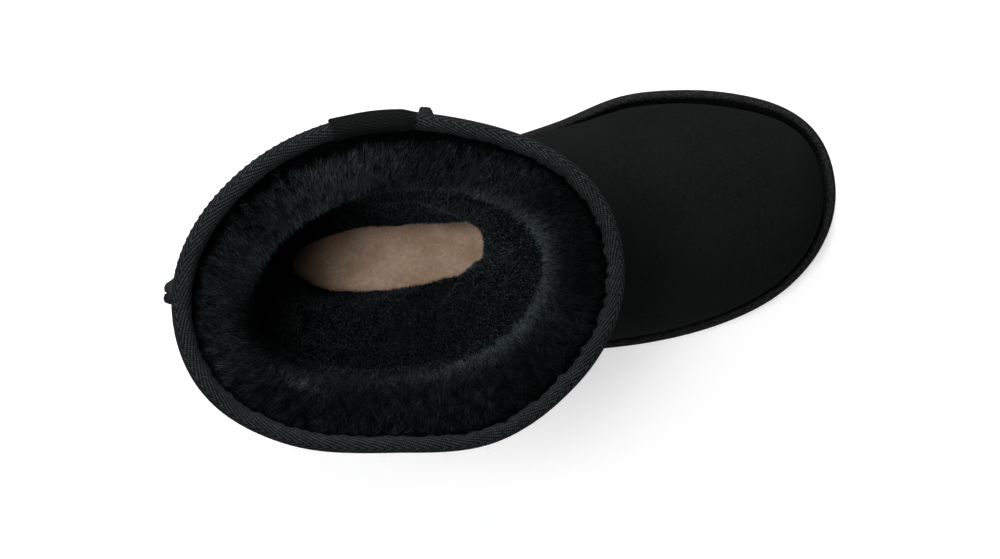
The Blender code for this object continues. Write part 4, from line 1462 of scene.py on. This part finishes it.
def cut_grooves(piece, material):
    """Cuts every groove of the tread, and keeps the result as the piece's own mesh."""
    cutters = []
    for first_x, pitch, count in GROOVE_ZONES:
        cutters += [groove_cutter(first_x + pitch * number, material) for number in range(count)]
    group = bpy.data.collections.new("tread_cutters")
    bpy.context.scene.collection.children.link(group)
    for cutter in cutters:
        group.objects.link(cutter)
    cut = piece.modifiers.new("tread", "BOOLEAN")
    cut.operand_type = "COLLECTION"
    cut.collection = group
    cut.solver = "EXACT"
    bpy.context.view_layer.update()
    evaluated = piece.evaluated_get(bpy.context.evaluated_depsgraph_get())
    mesh = bpy.data.meshes.new_from_object(evaluated)
    piece.modifiers.remove(cut)
    piece.data = mesh
    mesh.set_sharp_from_angle(angle=SHARP_ANGLE)
    for cutter in cutters:
        bpy.data.objects.remove(cutter)
    bpy.data.collections.remove(group)


def build_rand(material):
    """The rolled textile band around the joint of upper and sole."""
    turns = turns_of(RAND_TURNS)
    section = rows_of(RAND_SECTION)
    section = np.concatenate([section, section[:1]])
    section = resample(section, RAND_STATIONS, round_corners=2)[:-1]
    points = np.array([last_edge(turns, out, above) for out, above in section])
    along = lengths_around(points[RAND_UV_ROW])
    along = along * (np.round(along[-1] / RAND_REPEAT) * RAND_REPEAT / along[-1])
    across = lengths_around(section)
    uv = np.zeros((len(section) + 1, len(along), 2))
    uv[:, :, 0] = along[None, :]
    uv[:, :, 1] = across[:, None]
    piece = grid_object("rand_band", points, material, closed_rows=True, uv=uv)
    return dress(piece, "black_tape", "rand")


# Wool.


def waves(turn, level, seed, count, around, up):
    """A field of light and dark around zero, from waves that close around the boot."""
    rng = np.random.default_rng(seed)
    total = np.zeros(np.broadcast(turn, level).shape)
    for _ in range(count):
        often = rng.integers(*around)
        climb = rng.uniform(-up, up)
        total = total + np.sin(2.0 * np.pi * turn * often + climb * level + rng.uniform(0.0, 6.3))
    return total / count**0.5


def lip_level(turn):
    """Level of the lip of the pile."""
    return smooth(LIP["turn"], LIP["level"], turn % 1.0)


def heel_bulge(turn, level):
    """How far the long wool swells out over the heel and the inner side, in millimetres."""
    around = bump_at(turn_gap(turn, BULGE_TURN), 0.0, BULGE_REACH)
    return BULGE * around * soft_step(level, *BULGE_LEVELS)


def build_wool_body(material):
    """The body of the pile, behind the tips of its strands and less deep below the lip."""
    turns = turns_of(WOOL_TURNS)[None, :]
    top = float(level_under_collar(GAP))
    levels = np.linspace(PILE_LOW_LEVEL, top, WOOL_LEVELS)[:, None]
    deep = 0.5 + 0.5 * soft_step(levels, *SINK_DEEPENS)
    sink = BODY_SINK * (1.0 - soft_step(levels, *SINK_ENDS)) * deep
    lumps = waves(turns, levels, BODY_SEED, **FLUFF)
    lumps = lumps * BODY_LUMPS * (1.0 - soft_step(levels, *LUMPS_END))
    swell = heel_bulge(turns, levels) * (1.0 - soft_step(levels, *SWELL_ENDS))
    inner = pile_face(turns, levels, -sink + lumps + swell)
    outer_levels = np.linspace(top, PILE_LOW_LEVEL, BODY_BACK_LEVELS)[:, None]
    outer = upper_offset(turns, outer_levels, -(SUEDE + GAP))
    piece = grid_object("wool_body", np.concatenate([inner, outer]), material, closed_rows=True, flip=True)
    return dress(piece, "black_wool", "fleece_lining")


def tufts(rng, turn, level, sunk, flat, sweep, loose, length):
    """Straight strands, root and tip, that grow from a depth sunk under the pile's face.

    For each step out of the face they lean down it by flat and around it by sweep, and
    they stray by loose.
    """
    root = pile_face(turn, level, -sunk)
    outward = unit(pile_face(turn, level, 1.0) - root)
    down = unit(pile_face(turn, level - TUFT_STEP, -sunk) - root)
    around = unit(pile_face(turn + TUFT_STEP / 2.0, level, -sunk) - root)
    stray = rng.normal(0.0, 1.0, root.shape) * loose
    direction = unit(outward + down * flat[:, None] + around * sweep[:, None] + stray)
    return np.stack([root, root + direction * length[:, None]], axis=1)


def painted_light_of(name, turn):
    """The painted light and shade of one zone of the wool at a turn."""
    return np.interp(turn % 1.0, PAINTED_WOOL_LIGHT["turn"], PAINTED_WOOL_LIGHT[name])


def painted_wool_light(turn, upness):
    """The painted light and shade of the long wool at a turn, from 0 at the lip to 1 by the tape."""
    zones = [painted_light_of(name, turn) for name in ("lip", "low", "high", "tape")]
    place = np.clip(upness, 0.0, 1.0) * 3.0
    painted_light = zones[0]
    for step in range(3):
        painted_light = painted_light + (zones[step + 1] - zones[step]) * np.clip(place - step, 0.0, 1.0)
    return painted_light


def build_long_wool(name, seed, turn_from, turn_to, material):
    """Combed wool from under the tape down to the lip of the pile."""
    rng = np.random.default_rng(seed)
    turn = rng.uniform(turn_from, turn_to, LONG_COUNT)
    lip = lip_level(turn)
    comb = {part: np.interp(turn % 1.0, COMB["turn"], COMB[part]) for part in COMB}
    lock = waves(turn, lip, LOCK_SEED, **FLUFF)
    up = rng.uniform(0.0, 1.0, LONG_COUNT)
    level = lip - LOCK_LOW + LOCK_RISE * lock + (comb["top"] - lip) * up
    wisp = waves(turn, level, **WISPS)
    long_share = LONG_SHARE + COMBED_MORE * bump_at(turn_gap(turn, COMBED_TURN), 0.0, COMBED_REACH)
    is_long = rng.uniform(0.0, 1.0, LONG_COUNT) < long_share
    longer = rng.uniform(*LONG_LENGTH, LONG_COUNT)
    length = np.where(is_long, longer, rng.uniform(*SHORT_LENGTH, LONG_COUNT))
    flat = rng.uniform(*LONG_FLAT, LONG_COUNT)
    sweep = comb["sweep"] + WISP_SWEEP * comb["tousled"] * wisp
    sunk = LONG_SUNK - LOCK_LIFT * lock - WISP_LIFT * wisp - heel_bulge(turn, level)
    lines = tufts(rng, turn, level, sunk, flat, sweep, LONG_STRAY, length)
    # Painted light and shade, from the lip up to the tape.
    painted_light = painted_wool_light(turn, (level - lip) / (TAPE_LEVEL - lip))
    streak = (STREAK_LEAST + STREAK_TOUSLED * comb["tousled"]) * (wisp + waves(turn, level, **CLUMPS))
    mottled = np.clip(1.0 + streak, *STREAK_LIMITS)
    tones = rng.uniform(0.0, 1.0, LONG_COUNT) ** LONG_CONTRAST * LONG_LIGHT * mottled * painted_light
    widths = rng.uniform(*LONG_WIDTH, LONG_COUNT)
    return dress(strands(name, lines, widths, tones, material), "black_wool")


def wool_tips(name, rng, turn, level, kind, painted_light, material):
    """A piece of short upright wool, from where its strands stand and the painted light and shade on them.
    """
    count = len(turn)
    flat = rng.uniform(*kind["flat"], count)
    length = rng.uniform(*kind["length"], count)
    lines = tufts(rng, turn, level, kind["sunk"], flat, np.zeros(count), kind["stray"], length)
    tones = rng.uniform(kind["dimmest"], 1.0, count) ** kind["contrast"] * kind["light"] * painted_light
    widths = rng.uniform(*kind["width"], count)
    return dress(strands(name, lines, widths, tones, material), "black_wool")


def build_ridge(material):
    """Wool that stands up along the lip, at the front and sides, its tips a painted highlight."""
    rng = np.random.default_rng(RIDGE_SEED)
    turn = rng.uniform(RIDGE["turn"][0], RIDGE["turn"][-1], RIDGE_COUNT)
    strength = np.interp(turn, RIDGE["turn"], RIDGE["strength"])
    kept_share = RIDGE_LEAST_KEPT + (1.0 - RIDGE_LEAST_KEPT) * strength
    keep = rng.uniform(0.0, 1.0, RIDGE_COUNT) < kept_share
    turn, strength = turn[keep], strength[keep]
    level = lip_level(turn) + rng.normal(*RIDGE_ABOVE_LIP, len(turn))
    painted_light = RIDGE_LEAST_LIGHT + (1.0 - RIDGE_LEAST_LIGHT) * strength
    return wool_tips("lip_wool", rng, turn, level, RIDGE_WOOL, painted_light, material)


def build_short_curls(material):
    """Short tips of wool on the walls below the lip, with the walls' painted light and shade."""
    rng = np.random.default_rng(CURL_SEED)
    turn = rng.uniform(0.0, 1.0, CURL_COUNT)
    up = rng.uniform(0.0, 1.0, CURL_COUNT) ** CURL_CROWDING
    level = PILE_LOW_LEVEL + (lip_level(turn) - PILE_LOW_LEVEL) * up
    painted_light = painted_light_of("wall", turn)
    return wool_tips("short_curls", rng, turn, level, CURL_WOOL, painted_light, material)


def build_insole(material):
    """The wool insole over the lasting margin, in section from its lower edge inward."""
    turns = turns_of(INSOLE_TURNS)
    high = INSOLE_LOW + INSOLE_THICKNESS
    inside = -(SUEDE + 2 * GAP)
    section = (
        (-0.8, INSOLE_LOW),
        (0.0, INSOLE_LOW + 1.0),
        (0.0, high - 1.6),
        (-1.6, high),
        (-14.0, high + 0.2),
        (-22.0, high + INSOLE_CROWN),
    )
    rows = [last_edge(turns, inside + out, above) for out, above in section]
    piece = grid_object("wool_insole", np.array(rows), material)
    cap_ends(piece, INSOLE_TURNS, len(rows))
    dress(piece, "natural_wool", "insole")
    return piece


def build_insole_nap(material):
    """The raised nap over the insole, as short tips of wool."""
    rng = np.random.default_rng(NAP_SEED)
    high = INSOLE_LOW + INSOLE_THICKNESS
    edge = last_edge(rng.uniform(0.0, 1.0, NAP_COUNT), -NAP_INSET, high)
    spine = edge.copy()
    spine[:, 0] = np.clip(edge[:, 0], *NAP_SPINE)
    spine[:, 1] = 0.0
    share = rng.uniform(0.0, 1.0, (NAP_COUNT, 1)) ** 0.5
    root = spine + (edge - spine) * share
    inset = np.linalg.norm((edge - root)[:, :2], axis=1)
    crown = INSOLE_CROWN * soft_step(inset, 0.0, NAP_CROWN_REACH)
    root[:, 2] = bed(root[:, 0]) + high - NAP_SUNK + crown
    lean = rng.normal(0.0, NAP_STRAY, (NAP_COUNT, 3))
    lean[:, 2] += 1.0
    tip = root + unit(lean) * rng.uniform(*NAP_LENGTH, (NAP_COUNT, 1))
    tones = rng.uniform(*NAP_TONES, NAP_COUNT)
    widths = rng.uniform(*NAP_WIDTH, NAP_COUNT)
    piece = strands("insole_nap", np.stack([root, tip], axis=1), widths, tones, material)
    return dress(piece, "natural_wool")


# Stage, light and camera.


def add_camera():
    """A camera above the boot, rolled a little, at the height of a copy stand."""
    lens = bpy.data.cameras.new("camera")
    lens.sensor_width = SENSOR
    lens.lens = CAMERA_LENS
    lens.clip_start = NEAR_CLIP
    camera = bpy.data.objects.new("camera", lens)
    rows = []
    for axis in range(3):
        rows.append((CAMERA_RIGHT[axis], -CAMERA_DOWN[axis], -CAMERA_AHEAD[axis], CAMERA_AT[axis]))
    rows.append((0.0, 0.0, 0.0, 1.0))
    camera.matrix_world = Matrix(rows)
    bpy.context.scene.collection.objects.link(camera)
    bpy.context.scene.camera = camera


def add_area_light(name, place, target, size, watts):
    """A square soft box aimed at a point."""
    light = bpy.data.lights.new(name, "AREA")
    light.shape = "SQUARE"
    light.size = size
    light.energy = watts
    lamp = bpy.data.objects.new(name, light)
    back = unit(np.array(place, float) - np.array(target, float))
    across = unit(np.cross((0.0, 1.0, 0.05), back))
    up = np.cross(back, across)
    matrix = np.eye(4)
    matrix[:3, 0], matrix[:3, 1], matrix[:3, 2], matrix[:3, 3] = across, up, back, place
    lamp.matrix_world = Matrix(matrix.tolist())
    bpy.context.scene.collection.objects.link(lamp)


def paper(name, low, high, glow):
    """Matte white paper, lit a little from behind."""
    sheet = Shades(name, roughness=0.9, specular=0.0)
    sheet.shader.inputs["Emission Color"].default_value = WHITE
    sheet.shader.inputs["Emission Strength"].default_value = glow
    pulp = sheet.noise(3.0, 2.0)
    return sheet.finish(sheet.mix(pulp, (low, low, low, 1.0), (high, high, high, 1.0)))


def stage_mesh(name, points, faces, material):
    """A piece of the stage, which lights nothing itself."""
    mesh = bpy.data.meshes.new(name)
    mesh.from_pydata(points, [], faces)
    thing = bpy.data.objects.new(name, mesh)
    thing.data.materials.append(material)
    thing.visible_diffuse = False
    thing.visible_glossy = False
    bpy.context.scene.collection.objects.link(thing)
    return thing


def add_stage():
    """A pale floor inside a far pale wall."""
    half = FLOOR_REACH * 1.5
    corners = [(-half, -half, 0.0), (half, -half, 0.0), (half, half, 0.0), (-half, half, 0.0)]
    stage_mesh("floor", corners, [(0, 1, 2, 3)], paper("paper", *FLOOR_PAPER))
    angles = np.linspace(0.0, 2.0 * np.pi, WALL_SIDES, endpoint=False)
    low = [(FLOOR_REACH * np.cos(angle), FLOOR_REACH * np.sin(angle), 0.0) for angle in angles]
    high = [(x, y, WALL_HEIGHT) for x, y, _ in low]
    faces = []
    for side in range(WALL_SIDES):
        after = (side + 1) % WALL_SIDES
        faces.append((side, after, after + WALL_SIDES, side + WALL_SIDES))
    wall = stage_mesh("wall", low + high, faces, paper("wall_paper", *WALL_PAPER))
    wall.visible_shadow = False


def add_light():
    """Dim light from all around, and soft boxes of which the strongest is on the inner side."""
    world = bpy.data.worlds.new("daylight")
    world.use_nodes = True
    background = world.node_tree.nodes["Background"]
    background.inputs["Color"].default_value = WHITE
    background.inputs["Strength"].default_value = DAYLIGHT
    bpy.context.scene.world = world
    bpy.context.scene.view_settings.view_transform = "Standard"
    for soft_box in SOFT_BOXES:
        add_area_light(*soft_box)


def build_boot():
    """Builds every piece of the boot."""
    suede = suede_material()
    edge = suede_edge_material()
    thread = thread_material()
    tape = tape_material("tape", TAPE_GREYS)
    overlap = tape_material("tape_overlap", OVERLAP_GREYS)
    foam = foam_material()
    body = wool_body_material()
    black = black_wool_material("wool_black", BLACK_WOOL_GREYS, WOOL_TINT)
    tips = black_wool_material("wool_tips", LIP_WOOL_GREYS, TIP_TINT)
    build_upper(suede)
    for row in SEAMS:
        build_seam(row, edge)
    build_seam_stitches(thread)
    build_counter(suede)
    build_counter_stitches(thread)
    build_tape(tape)
    build_tape_join(overlap)
    build_tape_stitches(thread)
    build_outsole(foam)
    build_rand(rand_material())
    build_wool_body(body)
    for piece in LONG_WOOL:
        build_long_wool(*piece, black)
    build_ridge(tips)
    build_short_curls(black)
    build_insole(natural_wool_material())
    build_insole_nap(wool_strand_material("natural_tips", NAP_ROOT, NAP_TIP, 0.05))


build_boot()
add_stage()
add_light()
add_camera()
